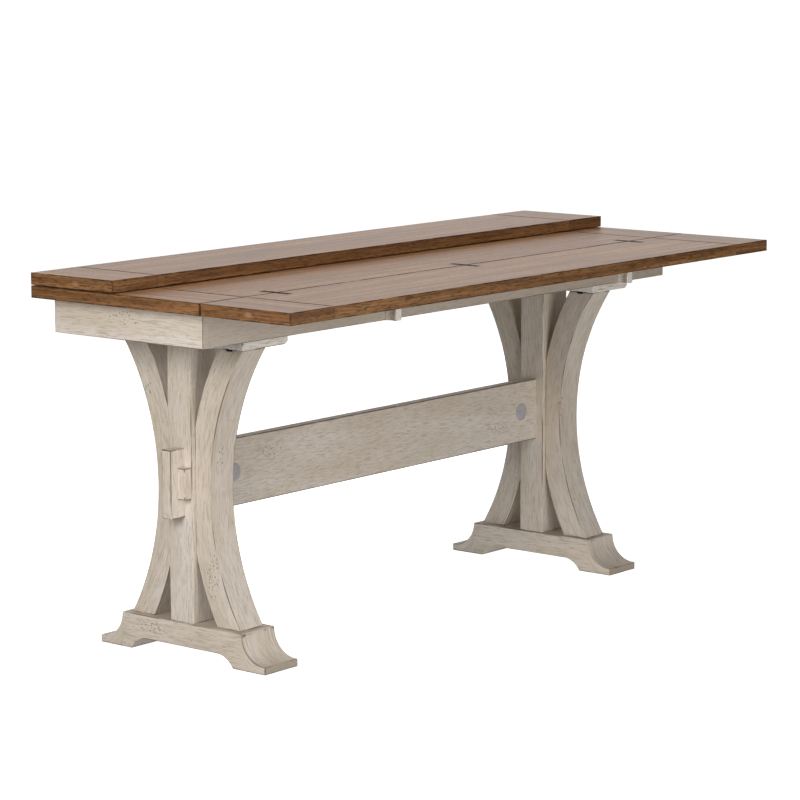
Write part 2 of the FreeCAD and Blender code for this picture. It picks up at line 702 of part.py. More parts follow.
def make_trestle(hand, side):
    """Make one trestle: foot, post, two curved legs and cleat, with its screws and brackets."""
    centre = f"{side} * trestle_centre"
    prefix = f"{hand}_trestle"
    upper_hole, lower_hole = lag_screws(f"{prefix}_lag_hole", centre, "seat_clearance")
    make_foot(f"{prefix}_foot", centre, lower_hole)
    stud_hole = bolt(f"{prefix}_stud_hole", side, "seat_clearance")
    make_post(f"{prefix}_post", centre, side, [upper_hole, lower_hole, stud_hole])
    make_cleat(f"{prefix}_cleat", centre,
               [upper_hole, *trestle_screws(f"{prefix}_cleat_hole", "seat_clearance")[hand]])
    brackets = [make_leg(f"{prefix}_{name}_leg", centre, face)
                for name, face in (("front", -1), ("rear", 1))]
    glides = [rod(f"{prefix}_glide{face}", "glide_radius", "glide_thickness", centre,
                  f"{face} * (foot_length / 2 - glide_inset)", "0") for face in (-1, 1)]
    lags = lag_screws(f"{prefix}_lag", centre, "0")
    return {"leg_brackets": brackets, "foot_glides": glides, "trestle_lag_screws": lags}


def bolt(name, side, slack):
    """Make the stud from a post into the stretcher's access hole, or the hole for it."""
    low, high = mirrored(side, "access_place - bolt_end", "post_inner + housing_depth + bolt_grip")
    return rod(name, f"bolt_radius + {slack}", f"({high}) - ({low}) + 2 * {slack}",
               f"{low} - {slack}", "0", "stretcher_middle", ALONG_X)


def make_stretcher_end(hand, side):
    """Make one end's wedged block, key, stud, nut with its half-round washer, and cover cap."""
    level = ("stretcher_level", "stretcher_level + stretcher_height")
    thick = ("-stretcher_thickness / 2", "stretcher_thickness / 2")
    tenon = block(f"tenon_{hand}", mirrored(side, "post_outer - housing_depth", "post_outer + tenon_reach"),
                  thick, level)
    key_x = mirrored(side, "post_outer", "post_outer + key_thickness")
    key_y = ("-stretcher_thickness / 2 - key_reach", "stretcher_thickness / 2 + key_reach")
    low = "stretcher_middle - key_height / 2"
    high = "stretcher_middle + key_height / 2"
    mortise = block(f"key_hole_{hand}", key_x, key_y,
                    (f"{low} - housing_clearance", f"{high} + housing_clearance"))
    hole = bolt(f"fitting_hole_{hand}", side, "seat_clearance")
    x = f"{side} * access_place"
    seat = "access_place + nut_seat"
    nut = doc.addObject("Part::Prism", f"nut_{hand}")
    nut.Polygon = 6
    bind(nut, Circumradius="nut_radius", Height="nut_height")
    place(nut, mirrored(side, f"{seat} - nut_height", seat)[0], "0", "stretcher_middle", ALONG_X)
    round_side = rod(f"washer_round_{hand}", "access_radius - seat_clearance", "2 * nut_radius",
                     x, "-nut_radius", "stretcher_middle", ALONG_Y)
    flat_side = block(f"washer_flat_{hand}", mirrored(side, seat, "access_place + access_radius"),
                      ("-nut_radius", "nut_radius"),
                      ("stretcher_middle - nut_radius", "stretcher_middle + nut_radius"))
    washer = common(f"washer_blank_{hand}", round_side, flat_side)
    front = "-stretcher_thickness / 2"
    cap = fuse(f"cap_{hand}",
               rod(f"cap_face_{hand}", "cap_radius", "cap_rim", x, f"{front} - cap_rim",
                   "stretcher_middle", ALONG_Y),
               rod(f"cap_plug_{hand}", "access_radius - housing_clearance", "cap_plug_depth", x, front,
                   "stretcher_middle", ALONG_Y))
    return {
        "stretcher_tenon_ends": [cut(f"tenon_cut_{hand}", tenon, mortise)],
        "stretcher_keys": [block(f"key_{hand}", key_x, key_y, (low, high))],
        "stretcher_studs": [bolt(f"stud_{hand}", side, "0")],
        "stretcher_nuts": [cut(f"nut_cut_{hand}", nut, hole), cut(f"washer_cut_{hand}", washer, hole)],
        "stretcher_bolt_caps": [cap],
    }


def make_stretcher():
    """Make the stretcher, housed in both posts and drilled for its fittings."""
    end = "post_inner + housing_depth"
    board = block("stretcher_blank", (f"-({end})", end),
                  ("-stretcher_thickness / 2", "stretcher_thickness / 2"),
                  ("stretcher_level", "stretcher_level + stretcher_height"))
    tools = []
    for hand, side in (("left", -1), ("right", 1)):
        tools.append(rod(f"access_{hand}", "access_radius", "access_depth + overrun",
                         f"{side} * access_place", "-stretcher_thickness / 2 - overrun", "stretcher_middle",
                         ALONG_Y))
        tools.append(bolt(f"stretcher_hole_{hand}", side, "hole_clearance"))
    node("stretcher", cut("stretcher_cut", board, *tools))


def make_frame():
    """Make both trestles and the stretcher, and gather their small pieces into shared nodes."""
    shared = {}
    for hand, side in (("left", -1), ("right", 1)):
        for pieces in (make_trestle(hand, side), make_stretcher_end(hand, side)):
            for label, solids in pieces.items():
                shared.setdefault(label, []).extend(solids)
    make_stretcher()
    screws = trestle_screws("cleat_screw", "0")
    shared["cleat_screws"] = screws["left"] + screws["right"]
    for label, solids in shared.items():
        node(label, *solids)


def write_parts():
    """Check every object of the document and write each node's solids to its file."""
    doc.recompute()
    for thing in doc.Objects:
        if "Invalid" in thing.State or "Error" in thing.State:
            raise RuntimeError(f"{thing.Label} was not built: {thing.State}")
    for part in nodes:
        if part.Shape.isNull() or not part.Shape.isValid():
            raise RuntimeError(f"{part.Label} has no valid shape")
    os.makedirs("parts", exist_ok=True)
    for part in nodes:
        part.Shape.exportStep(f"parts/{part.Label}.step")
        print(f"{part.Label}: {len(part.Shape.Solids)} solids, {part.Shape.Volume:.0f} mm3")


ALIASES = {*SIZES, *DERIVED}
fill_sheet()
make_top()
make_apron()
make_supports()
make_frame()
write_parts()
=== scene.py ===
"""Dresses the flip-top sofa table: rubbed antique-white trestles under satin-stained boards.

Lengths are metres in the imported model's frame: X runs along the table, -Y points to the open leaf, Z is up.
"""

import json
import logging
import math
from dataclasses import dataclass
from enum import Enum
from typing import Any, Callable, ClassVar, Sequence

import bmesh
import bpy
import numpy as np
from mathutils import Matrix, Vector


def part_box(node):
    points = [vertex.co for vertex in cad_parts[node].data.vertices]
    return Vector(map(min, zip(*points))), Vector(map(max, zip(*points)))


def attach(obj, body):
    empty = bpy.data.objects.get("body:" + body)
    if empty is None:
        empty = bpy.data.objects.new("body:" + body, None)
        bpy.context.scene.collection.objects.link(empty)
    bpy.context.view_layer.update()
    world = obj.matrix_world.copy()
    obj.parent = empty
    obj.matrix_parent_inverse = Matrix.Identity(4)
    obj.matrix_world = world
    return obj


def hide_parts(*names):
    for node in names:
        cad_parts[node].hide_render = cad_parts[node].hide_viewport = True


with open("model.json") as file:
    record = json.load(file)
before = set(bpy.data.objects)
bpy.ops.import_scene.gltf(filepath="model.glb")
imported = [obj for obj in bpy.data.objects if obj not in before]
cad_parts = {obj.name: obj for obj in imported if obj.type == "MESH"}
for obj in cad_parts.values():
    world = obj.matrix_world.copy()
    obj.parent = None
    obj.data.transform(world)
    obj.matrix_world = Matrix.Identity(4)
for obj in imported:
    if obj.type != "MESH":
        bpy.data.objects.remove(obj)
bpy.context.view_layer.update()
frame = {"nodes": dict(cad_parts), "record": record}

LOG = logging.getLogger("sofa_table")
MM = 0.001
MERGE_DISTANCE = 0.001 * MM
HALF_STEP = 0.02 * MM
STATION_STEP = 20 * MM
WEAR_REACH = 8 * MM
WEAR_LINES = (1.5 * MM, 4 * MM, WEAR_REACH)
WEAR_SHARE = 0.45
# How far the zones of painted light and shade reach past a face.
SHADING_REACH = Vector((MM, MM, MM))
FACE_REACH = Vector((MM, 1.6 * MM, MM))
SHARP_ANGLE = math.radians(38)
PLACE_DIGITS = 7
MIX_FACTOR, MIX_A, MIX_B, MIX_COLOUR = 0, 6, 7, 2
MIX_LOW, MIX_HIGH = 2, 3
ATTRIBUTE_VECTOR, ATTRIBUTE_VALUE, OBJECT_PLACE = 1, 2, 3
MIDDLE = (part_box("fixed_top_panel")[0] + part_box("fixed_top_panel")[1]) / 2

Line = Callable[[np.ndarray], np.ndarray]
Place = tuple[float, float, float]


class Axis(Enum):
    """The way a member runs, as the numbers of its along, across and up axes."""

    X = (0, 1, 2)
    Y = (1, 0, 2)
    Z = (2, 0, 1)


def linear(colour: str) -> tuple[float, float, float, float]:
    """Turn an sRGB hex value into linear colour with full alpha.

    Args:
        colour: The colour as "#rrggbb".

    Returns:
        The linear red, green, blue and alpha.
    """
    value = np.array([int(colour[i:i + 2], 16) for i in (1, 3, 5)]) / 255
    value = np.where(value <= 0.04045, value / 12.92, ((value + 0.055) / 1.055) ** 2.4)
    return (*value.tolist(), 1.0)


def add(tree: bpy.types.NodeTree, kind: str, feeds: dict[Any, Any] | None = None, out: int = 0,
        **settings: Any) -> bpy.types.NodeSocket:
    """Add one shader node, set its options, and link or set its inputs.

    Args:
        tree: The node tree that takes the node.
        kind: The node's type without its ShaderNode prefix.
        feeds: For each input's name or number, the socket that feeds it or its value.
        out: The number of the output to hand back.
        **settings: The node's options by name.

    Returns:
        The chosen output socket, or the node's own first input where it has no output.
    """
    made = tree.nodes.new("ShaderNode" + kind)
    for option, value in settings.items():
        setattr(made, option, value)
    for place, value in (feeds or {}).items():
        if isinstance(value, bpy.types.NodeSocket):
            tree.links.new(value, made.inputs[place])
        else:
            made.inputs[place].default_value = value
    return made.outputs[out] if made.outputs else made.inputs[0]


@dataclass(frozen=True)
class Ramp:
    """How a layer comes in with a value: where it starts, where it is full, and how strong it then is."""

    start: float
    end: float
    most: float = 1.0

    def feeds(self, value: bpy.types.NodeSocket) -> dict[str, Any]:
        """The inputs that make a map range node follow this ramp."""
        return {"Value": value, "From Min": self.start, "From Max": self.end, "To Max": self.most}


@dataclass(frozen=True)
class Layer:
    """One grained layer: its colour, its noise's size along and across the grain, its detail and its ramp."""

    colour: str
    length: float
    width: float
    detail: float
    ramp: Ramp
    rough_share: float = 0.6

    def noise(self, tree: bpy.types.NodeTree, place: bpy.types.NodeSocket) -> bpy.types.NodeSocket:
        """Lay out the layer's noise, drawn out along the grain.

        Args:
            tree: The material's node tree.
            place: The coordinates, with the grain along their first axis.

        Returns:
            The noise's output.
        """
        scale = (1 / self.length, 1 / self.width, 1 / self.width)
        scaled = add(tree, "VectorMath", {0: place, 1: scale}, operation="MULTIPLY")
        return add(tree, "TexNoise", {"Vector": scaled, "Scale": 1.0, "Detail": self.detail,
                                      "Roughness": self.rough_share})


@dataclass(frozen=True)
class Finish:
    """A finish: the record's material slot that it fills, and the name of the real material."""

    slot: str
    name: str

    def paint(self, tree: bpy.types.NodeTree) -> bpy.types.NodeSocket:
        """Lay out the finish's nodes; each finish has its own."""
        raise NotImplementedError

    def material(self) -> bpy.types.Material:
        """Make the material.

        Returns:
            A material that holds only this finish's nodes.
        """
        made = bpy.data.materials.new(self.name)
        made.use_nodes = True
        made.node_tree.nodes.clear()
        add(made.node_tree, "OutputMaterial", {"Surface": self.paint(made.node_tree)})
        return made


@dataclass(frozen=True)
class PaintedWood(Finish):
    """Antique-white paint, wire-brushed and glazed, rubbed through to brown wood on the arrises.

    The brush leaves long thin streaks where the glaze sits, so the cream looks grained, never flat.
    The streaks and pores are really about 1 mm wide and are drawn wider, so that they show in the render.
    Where a member's shading attribute says, the cream is painted lighter as painted light or darker as
    painted shade.
    """

    cream: str = "#d9cfc4"
    # Painted light: a near-white that lightens faces which the lamps leave too dark.
    painted_light_colour: str = "#fbf8f2"
    # Painted shade: a warm brown that darkens faces which lie in shade.
    painted_shade_colour: str = "#85735c"
    tone: Layer = Layer("#cdc0af", 420 * MM, 70 * MM, 2.0, Ramp(0.36, 0.64))
    streak: Layer = Layer("#a89984", 32 * MM, 1.9 * MM, 3.0, Ramp(0.45, 0.7, 0.75))
    pore: Layer = Layer("#6f5d49", 15 * MM, 1.8 * MM, 1.0, Ramp(0.61, 0.74, 0.4))
    rub: Layer = Layer("#67513d", 150 * MM, 30 * MM, 3.0, Ramp(2.9, 3.1, 0.85))
    rub_fall: float = 2.5
    worm_spacing: float = 6.6 * MM
    worm_radius: float = 2.3 * MM
    worm_stretch: float = 1.3
    worm_shade: float = 0.7
    worm_ramp: Ramp = Ramp(0.16, 0.34)
    roughness: float = 0.55
    ior: float = 1.46
    relief: float = 0.3 * MM
    relief_share: float = 0.3

    def paint(self, tree: bpy.types.NodeTree) -> bpy.types.NodeSocket:
        """Lay out the paint: cream and beige fields, glaze streaks, pores, worm holes, rubbed arrises, and
        painted light and shade.

        Args:
            tree: The material's node tree.

        Returns:
            The shader's output.
        """
        grain = add(tree, "Attribute", out=ATTRIBUTE_VECTOR, attribute_name="grain")
        arris, spots, coat = (add(tree, "Attribute", out=ATTRIBUTE_VALUE, attribute_name=name)
                              for name in ("arris", "spots", "coat"))
        fields, streaks, pores, rubs = (layer.noise(tree, grain)
                                        for layer in (self.tone, self.streak, self.pore, self.rub))
        drawn = add(tree, "VectorMath", {0: grain, 1: (1 / self.worm_stretch, 1, 1)}, operation="MULTIPLY")
        worms = add(tree, "TexVoronoi", {"Vector": drawn, "Scale": 1 / self.worm_spacing})
        hole = self.worm_radius / self.worm_spacing
        worn = add(tree, "Math", {0: arris, 1: self.rub_fall, 2: rubs}, operation="MULTIPLY_ADD")
        # The shading attribute's values above 0 bring in painted light, its values below 0 painted shade.
        tone, dot, clump, painted_lit, painted_shaded = (
            add(tree, "MapRange", ramp.feeds(value))
            for value, ramp in ((fields, self.tone.ramp), (worms, Ramp(hole, hole / 2, self.worm_shade)),
                                (spots, self.worm_ramp), (coat, Ramp(0.0, 1.0)), (coat, Ramp(0.0, -1.0))))
        streak, pore, rubbed = (
            add(tree, "MapRange", layer.ramp.feeds(value), interpolation_type="SMOOTHSTEP")
            for value, layer in ((streaks, self.streak), (pores, self.pore), (worn, self.rub)))
        worm = add(tree, "Math", {0: dot, 1: clump}, operation="MULTIPLY")
        # The painted light and painted shade are laid over the tone, under the streaks, pores, worm holes and
        # rubs.
        colour = linear(self.cream)
        for amount, over in ((tone, self.tone.colour), (painted_lit, self.painted_light_colour), (painted_shaded, self.painted_shade_colour),
                             (streak, self.streak.colour), (pore, self.pore.colour), (worm, self.pore.colour),
                             (rubbed, self.rub.colour)):
            colour = add(tree, "Mix", {MIX_FACTOR: amount, MIX_A: colour, MIX_B: linear(over)},
                         out=MIX_COLOUR, data_type="RGBA")
        sunk = add(tree, "Math", {0: streak, 1: pore}, operation="ADD")
        sunk = add(tree, "Math", {0: sunk, 1: worm}, operation="ADD")
        bump = add(tree, "Bump", {"Height": sunk, "Distance": self.relief, "Strength": self.relief_share},
                   invert=True)
        return add(tree, "BsdfPrincipled", {"Base Color": colour, "Roughness": self.roughness,
                                            "IOR": self.ior, "Normal": bump})


@dataclass(frozen=True)
class StainedWood(Finish):
    """Brown-stained acacia under satin lacquer, with darker glaze left in the eased arrises.

    The stain gives the eye warm brown with fine dark fibres; the lacquer whitens the tops at a low angle.
    The fibres and pores are really under 1 mm wide and are drawn wider, so that they show in the render.
    """

    brown: str = "#714c2d"
    band: Layer = Layer("#a2754b", 700 * MM, 16 * MM, 3.0, Ramp(0.34, 0.66))
    fibre: Layer = Layer("#543920", 140 * MM, 2.4 * MM, 3.0, Ramp(0.42, 0.72, 0.8))
    pore: Layer = Layer("#38230f", 16 * MM, 2 * MM, 1.0, Ramp(0.5, 0.68, 0.7))
    glaze: Layer = Layer("#3a2411", 60 * MM, 20 * MM, 3.0, Ramp(0.74, 0.98, 0.85))
    glaze_least: float = 0.45
    knot: str = "#b98f78"
    knot_ramp: Ramp = Ramp(0.3, 0.9, 0.6)
    smooth: float = 0.34
    rough: float = 0.48
    glaze_roughness: float = 0.85
    specular: float = 0.5
    glaze_specular: float = 0.15
    ior: float = 1.5
    relief: float = 0.2 * MM
    relief_share: float = 0.2

    def paint(self, tree: bpy.types.NodeTree) -> bpy.types.NodeSocket:
        """Lay out the stain: growth bands, fibres, pores, pale knots and dark arrises under one lacquer.

        Args:
            tree: The material's node tree.

        Returns:
            The shader's output.
        """
        grain = add(tree, "Attribute", out=ATTRIBUTE_VECTOR, attribute_name="grain")
        arris, spots = (add(tree, "Attribute", out=ATTRIBUTE_VALUE, attribute_name=name)
                        for name in ("arris", "spots"))
        bands, fibres, pores, rubs = (layer.noise(tree, grain)
                                      for layer in (self.band, self.fibre, self.pore, self.glaze))
        uneven = add(tree, "Math", {0: rubs, 1: self.glaze_least}, operation="ADD")
        worn = add(tree, "Math", {0: arris, 1: uneven}, operation="MULTIPLY")
        band = add(tree, "MapRange", self.band.ramp.feeds(bands))
        fibre, pore, knot, glazed = (
            add(tree, "MapRange", ramp.feeds(value), interpolation_type="SMOOTHSTEP")
            for value, ramp in ((fibres, self.fibre.ramp), (pores, self.pore.ramp), (spots, self.knot_ramp),
                                (worn, self.glaze.ramp)))
        colour = linear(self.brown)
        for amount, over in ((band, self.band.colour), (fibre, self.fibre.colour), (pore, self.pore.colour),
                             (knot, self.knot), (glazed, self.glaze.colour)):
            colour = add(tree, "Mix", {MIX_FACTOR: amount, MIX_A: colour, MIX_B: linear(over)},
                         out=MIX_COLOUR, data_type="RGBA")
        gloss = add(tree, "MapRange", {"Value": fibres, "To Min": self.smooth, "To Max": self.rough})
        gloss = add(tree, "Mix", {MIX_FACTOR: glazed, MIX_LOW: gloss, MIX_HIGH: self.glaze_roughness})
        sheen = add(tree, "MapRange", {"Value": glazed, "To Min": self.specular,
                                       "To Max": self.glaze_specular})
        bump = add(tree, "Bump", {"Height": pores, "Distance": self.relief, "Strength": self.relief_share},
                   invert=True)
        return add(tree, "BsdfPrincipled", {"Base Color": colour, "Roughness": gloss, "IOR": self.ior,
                                            "Normal": bump, "Specular IOR Level": sheen})


@dataclass(frozen=True)
class RawWood(Finish):
    """Planed beech left bare inside the apron: pale tan with fine straight grain along Y, quite matt."""

    tan: str = "#c9a679"
    line: Layer = Layer("#a5804f", 180 * MM, 3 * MM, 3.0, Ramp(0.4, 0.75))
    roughness: float = 0.7
    ior: float = 1.45
    relief: float = 0.2 * MM
    relief_share: float = 0.3

    def paint(self, tree: bpy.types.NodeTree) -> bpy.types.NodeSocket:
        """Lay out the grain as one stretched noise.

        Args:
            tree: The material's node tree.

        Returns:
            The shader's output.
        """
        place = add(tree, "TexCoord", out=OBJECT_PLACE)
        turned = add(tree, "VectorRotate", {"Vector": place, "Angle": math.pi / 2}, rotation_type="Z_AXIS")
        grain = self.line.noise(tree, turned)
        line = add(tree, "MapRange", self.line.ramp.feeds(grain))
        colour = add(tree, "Mix", {MIX_FACTOR: line, MIX_A: linear(self.tan),
                                   MIX_B: linear(self.line.colour)}, out=MIX_COLOUR, data_type="RGBA")
        bump = add(tree, "Bump", {"Height": grain, "Distance": self.relief, "Strength": self.relief_share})
        return add(tree, "BsdfPrincipled", {"Base Color": colour, "Roughness": self.roughness,
                                            "IOR": self.ior, "Normal": bump})


@dataclass(frozen=True)
class SpeckledFinish(Finish):
    """A metal or plastic whose colour and gloss drift between two values in a fine mottle."""

    base: str = "#808080"
    drift: str = "#707070"
    mottle: float = 6 * MM
    metallic: float = 0.0
    smooth: float = 0.3
    rough: float = 0.45
    specular: float = 0.5
    detail: float = 4.0
    ramp: Ramp = Ramp(0.35, 0.65)
    relief: float = 0.05 * MM
    relief_share: float = 0.2

    def paint(self, tree: bpy.types.NodeTree) -> bpy.types.NodeSocket:
        """Lay out the mottle as one noise that drives colour, gloss and a slight relief.

        Args:
            tree: The material's node tree.

        Returns:
            The shader's output.
        """
        place = add(tree, "TexCoord", out=OBJECT_PLACE)
        noise = add(tree, "TexNoise", {"Vector": place, "Scale": 1 / self.mottle, "Detail": self.detail})
        mottle = add(tree, "MapRange", self.ramp.feeds(noise))
        colour = add(tree, "Mix", {MIX_FACTOR: mottle, MIX_A: linear(self.base), MIX_B: linear(self.drift)},
                     out=MIX_COLOUR, data_type="RGBA")
        gloss = add(tree, "MapRange", {"Value": noise, "To Min": self.smooth, "To Max": self.rough})
        bump = add(tree, "Bump", {"Height": noise, "Distance": self.relief, "Strength": self.relief_share})
        return add(tree, "BsdfPrincipled", {"Base Color": colour, "Metallic": self.metallic,
                                            "Roughness": gloss, "Specular IOR Level": self.specular,
                                            "Normal": bump})


FINISHES = (
    StainedWood("stained_top", "stained acacia, satin lacquer"),
    PaintedWood("painted_frame", "antique white paint on brushed wood"),
    RawWood("raw_wood", "planed beech, bare"),
    # Dark steel: near black and dull, with little specular shine.
    SpeckledFinish("dark_steel", "blackened steel", "#2a231d", "#1b1714", 5 * MM, 0.0, 0.6, 0.8, 0.15),
    # Zinc plate: pale blue-grey with the soft spangle of electroplating.
    SpeckledFinish("zinc_steel", "zinc plated steel", "#b9bcbd", "#9da2a5", 3 * MM, 1.0, 0.28, 0.42),
    # Moulded polythene: milky and slightly lilac, with a soft satin skin.
    SpeckledFinish("cap_plastic", "moulded polythene", "#b5afad", "#a39ea2", 9 * MM, 0.0, 0.35, 0.5),
    # Moulded nylon: dull dark brown, only a faint gloss.
    SpeckledFinish("glide_nylon", "moulded nylon", "#3a342e", "#2c2823", 4 * MM, 0.0, 0.5, 0.65),
)
SLOT_NAMES = {finish.slot: finish.name for finish in FINISHES}


@dataclass(frozen=True)
class Spot:
    """A patch of worm holes or a knot: its middle, and how far it spreads along each axis."""

    place: Place
    spread: Place


@dataclass(frozen=True)
class Zone:
    """A box where a share scales a member's wear, or paints it lighter as painted light or, below 0, darker
    as painted shade.
    """

    low: Vector
    high: Vector
    share: float


@dataclass(frozen=True)
class Recess:
    """A hinge's recess in a board: the box that it clears, and whether it opens upwards."""

    low: Vector
    high: Vector
    opens_up: bool


def spread_out(length: float, marks: Sequence[float] = ()) -> np.ndarray:
    """Places along a run: close together near its ends for the wear, then about one step apart.

    Args:
        length: The run's length.
        marks: Further places that have to be among them.

    Returns:
        The places from 0 to the length, in order.
    """
    near = np.array([0.0, *WEAR_LINES])
    near = near[near < WEAR_SHARE * length]
    steps = max(1, math.ceil((length - 2 * near[-1]) / STATION_STEP))
    inner = np.linspace(near[-1], length - near[-1], steps + 1)
    inside = [m for m in marks if 0 < m < length]
    return np.unique(np.round(np.concatenate([near, inner, length - near, inside]), PLACE_DIGITS))


def wear(places: np.ndarray, length: float) -> np.ndarray:
    """Wear at places along a run: 1 at either end, falling to 0 over the wear's reach.

    Args:
        places: Distances from the run's start.
        length: The run's length.

    Returns:
        The wear at each place, from 0 to 1.
    """
    return np.clip(1 - np.minimum(places, length - places) / WEAR_REACH, 0, 1)


@dataclass
class Bar:
    """A wooden member: a rectangle with eased arrises carried along a straight axis.

    At station s the section is the rectangle from across_low(s) to across_high(s) and from up_low(s) to
    up_high(s), with an arc of the arris radius in each corner. At both ends the section draws in along the
    same arc. Rings lie at the marks and creases, and a crease is worn like an arris. The grain starts from
    the offset and follows the bend where one is given. The zones scale the wear inside their boxes, the
    shading zones paint faces lighter as painted light or darker as painted shade, the rub scales all wear,
    and long_ends turns the end faces' grain across.
    """

    name: str
    low: Vector
    high: Vector
    axis: Axis
    arris: float
    offset: Vector
    marks: Sequence[float] = ()
    across_marks: Sequence[float] = ()
    creases: Sequence[float] = ()
    across_low: Line | None = None
    across_high: Line | None = None
    up_low: Line | None = None
    up_high: Line | None = None
    bend: Line | None = None
    spots: Sequence[Spot] = ()
    recesses: Sequence[Recess] = ()
    zones: Sequence[Zone] = ()
    coats: Sequence[Zone] = ()
    rub: float = 1.0
    long_ends: bool = False

    corner_steps: ClassVar[int] = 3
    least_radius: ClassVar[float] = 0.04 * MM
    crease_slope: ClassVar[float] = 0.5

    def bounds(self, axis: int, low: Line | None, high: Line | None, stations: np.ndarray) -> np.ndarray:
        """The member's two faces across one axis at each station.

        Args:
            axis: The axis number.
            low: The lower face as a function of the station, or None where it is flat.
            high: The upper face likewise.
            stations: Where along the member.

        Returns:
            Two rows, the lower and the upper face.
        """
        flat_low, flat_high = (np.full(stations.shape, corner[axis]) for corner in (self.low, self.high))
        return np.array([low(stations) if low else flat_low, high(stations) if high else flat_high])

    def loop(self, width: float, height: float) -> tuple[np.ndarray, np.ndarray]:
        """One turn round the section, as shares of its straight sides and outward directions of its corners.

        Args:
            width: The section's usual size across.
            height: The section's usual size upwards.

        Returns:
            Rows of (share across, share up, direction across, direction up), and each point's wear.
        """
        points, worn = [], []
        flat, tall = width - 2 * self.arris, height - 2 * self.arris
        marks = [m - self.low[self.axis.value[1]] - self.arris for m in self.across_marks]
        sides = (((1, 0), flat, marks), ((1, 1), tall, ()), ((0, 1), flat, [flat - m for m in marks]),
                 ((0, 0), tall, ()))
        start = (0, 0)
        for turn, (end, length, side_marks) in enumerate(sides):
            places = spread_out(length, side_marks)[1:-1]
            share = (places / length)[:, None]
            outward = np.tile([math.sin(turn * math.pi / 2), -math.cos(turn * math.pi / 2)], (len(places), 1))
            points.append(np.hstack([np.array(start) * (1 - share) + np.array(end) * share, outward]))
            worn.append(wear(places, length))
            angle = (turn - 1 + np.linspace(0, 1, self.corner_steps + 1)) * math.pi / 2
            points.append(np.column_stack([np.tile(end, (len(angle), 1)), np.cos(angle), np.sin(angle)]))
            worn.append(np.ones(len(angle)))
            start = end
        return np.vstack(points), np.concatenate(worn)

    def rings(self, start: float, end: float, depth: float) -> np.ndarray:
        """The rings along the member: over one end face, round its arris, along, and over the other end.

        Args:
            start: Where the member begins along its axis.
            end: Where it ends.
            depth: The end faces' smallest size, which limits how far rings go in over them.

        Returns:
            Rows of station, inset and wear.
        """
        face = np.array([d for d in WEAR_LINES if self.arris + d < WEAR_SHARE * depth])[::-1]
        angle = np.linspace(math.pi / 2, 0, self.corner_steps + 1)
        inset = np.concatenate([self.arris + face, self.arris * (1 - np.cos(angle))])
        back = np.concatenate([0 * face, self.arris * (1 - np.sin(angle))])
        worn = np.concatenate([1 - face / WEAR_REACH, np.ones(len(angle))])
        run = end - start - 2 * self.arris
        along = spread_out(run, [m - start - self.arris for m in (*self.marks, *self.creases)])[1:-1]
        middle = np.column_stack([start + self.arris + along, 0 * along, wear(along, run)])
        first, last = np.column_stack([start + back, inset, worn]), np.column_stack([end - back, inset, worn])
        return np.vstack([first, middle, last[::-1]])

    def surface(self) -> tuple[np.ndarray, np.ndarray]:
        """The member's points on the grid of rings and loop, and their wear.

        Each point is the section's low corner, plus the inset and corner radius, plus its share of the
        straight side, plus the corner radius times its outward direction.

        Returns:
            Points as (rings, loop, 3) and wear as (rings, loop).
        """
        along, across, up = self.axis.value
        ends = np.array([self.low[along] + self.arris, self.high[along] - self.arris])
        depth = min(np.ptp(self.bounds(across, self.across_low, self.across_high, ends), axis=0).min(),
                    np.ptp(self.bounds(up, self.up_low, self.up_high, ends), axis=0).min())
        station, inset, ring_wear = self.rings(self.low[along], self.high[along], depth).T
        inside = np.clip(station, self.low[along] + self.arris, self.high[along] - self.arris)
        a_low, a_high = self.bounds(across, self.across_low, self.across_high, inside)
        b_low, b_high = self.bounds(up, self.up_low, self.up_high, inside)
        loop, loop_wear = self.loop((a_high - a_low).max(), (b_high - b_low).max())
        radius = np.maximum(self.arris - inset, self.least_radius)
        points = np.empty((len(station), len(loop), 3))
        points[..., along] = station[:, None]
        for axis, low, high, share, way in ((across, a_low, a_high, 0, 2), (up, b_low, b_high, 1, 3)):
            straight = high - low - 2 * (inset + radius)
            points[..., axis] = ((low + inset + radius)[:, None] + straight[:, None] * loop[:, share]
                                 + radius[:, None] * loop[:, way])
        over_end = inset[:, None] > self.arris
        worn = np.maximum(ring_wear[:, None], np.where(over_end, 0, loop_wear))
        for crease in self.creases:
            near = np.clip(1 - np.abs(station - crease) / WEAR_REACH, 0, 1)
            worn = np.maximum(worn, near[:, None] * (loop[:, 3] > self.crease_slope))
        for zone in self.zones:
            within = np.all((points > zone.low) & (points < zone.high), axis=-1)
            worn = np.where(within, zone.share * worn, worn)
        return self.cut(points), self.rub * worn

    def cut(self, points: np.ndarray) -> np.ndarray:
        """Sink the points inside each recess to its floor.

        Args:
            points: The member's points, with the last axis x, y, z.

        Returns:
            The same points, cut.
        """
        for recess in self.recesses:
            low, high = np.array(recess.low), np.array(recess.high)
            inside = np.all((points[..., :2] > low[:2]) & (points[..., :2] < high[:2]), axis=-1)
            height = points[..., 2]
            sunk = np.minimum(height, low[2]) if recess.opens_up else np.maximum(height, high[2])
            points[..., 2] = np.where(inside, sunk, height)
        return points

    def grain(self, points: np.ndarray) -> np.ndarray:
        """The grain's coordinates: the points' own along, across and up, moved by the offset and the bend.

        Args:
            points: The member's points in rows.

        Returns:
            One row for each point, with the grain along its first number.
        """
        grain = points[:, self.axis.value] + np.array(self.offset)
        along = points[:, self.axis.value[0]]
        if self.bend:
            grain[:, 2] -= self.bend(along)
        if self.long_ends:
            low, high = self.low[self.axis.value[0]], self.high[self.axis.value[0]]
            at_end = np.minimum(np.abs(along - low), np.abs(along - high)) < MERGE_DISTANCE
            grain[at_end] = grain[at_end][:, [1, 0, 2]]
        return grain

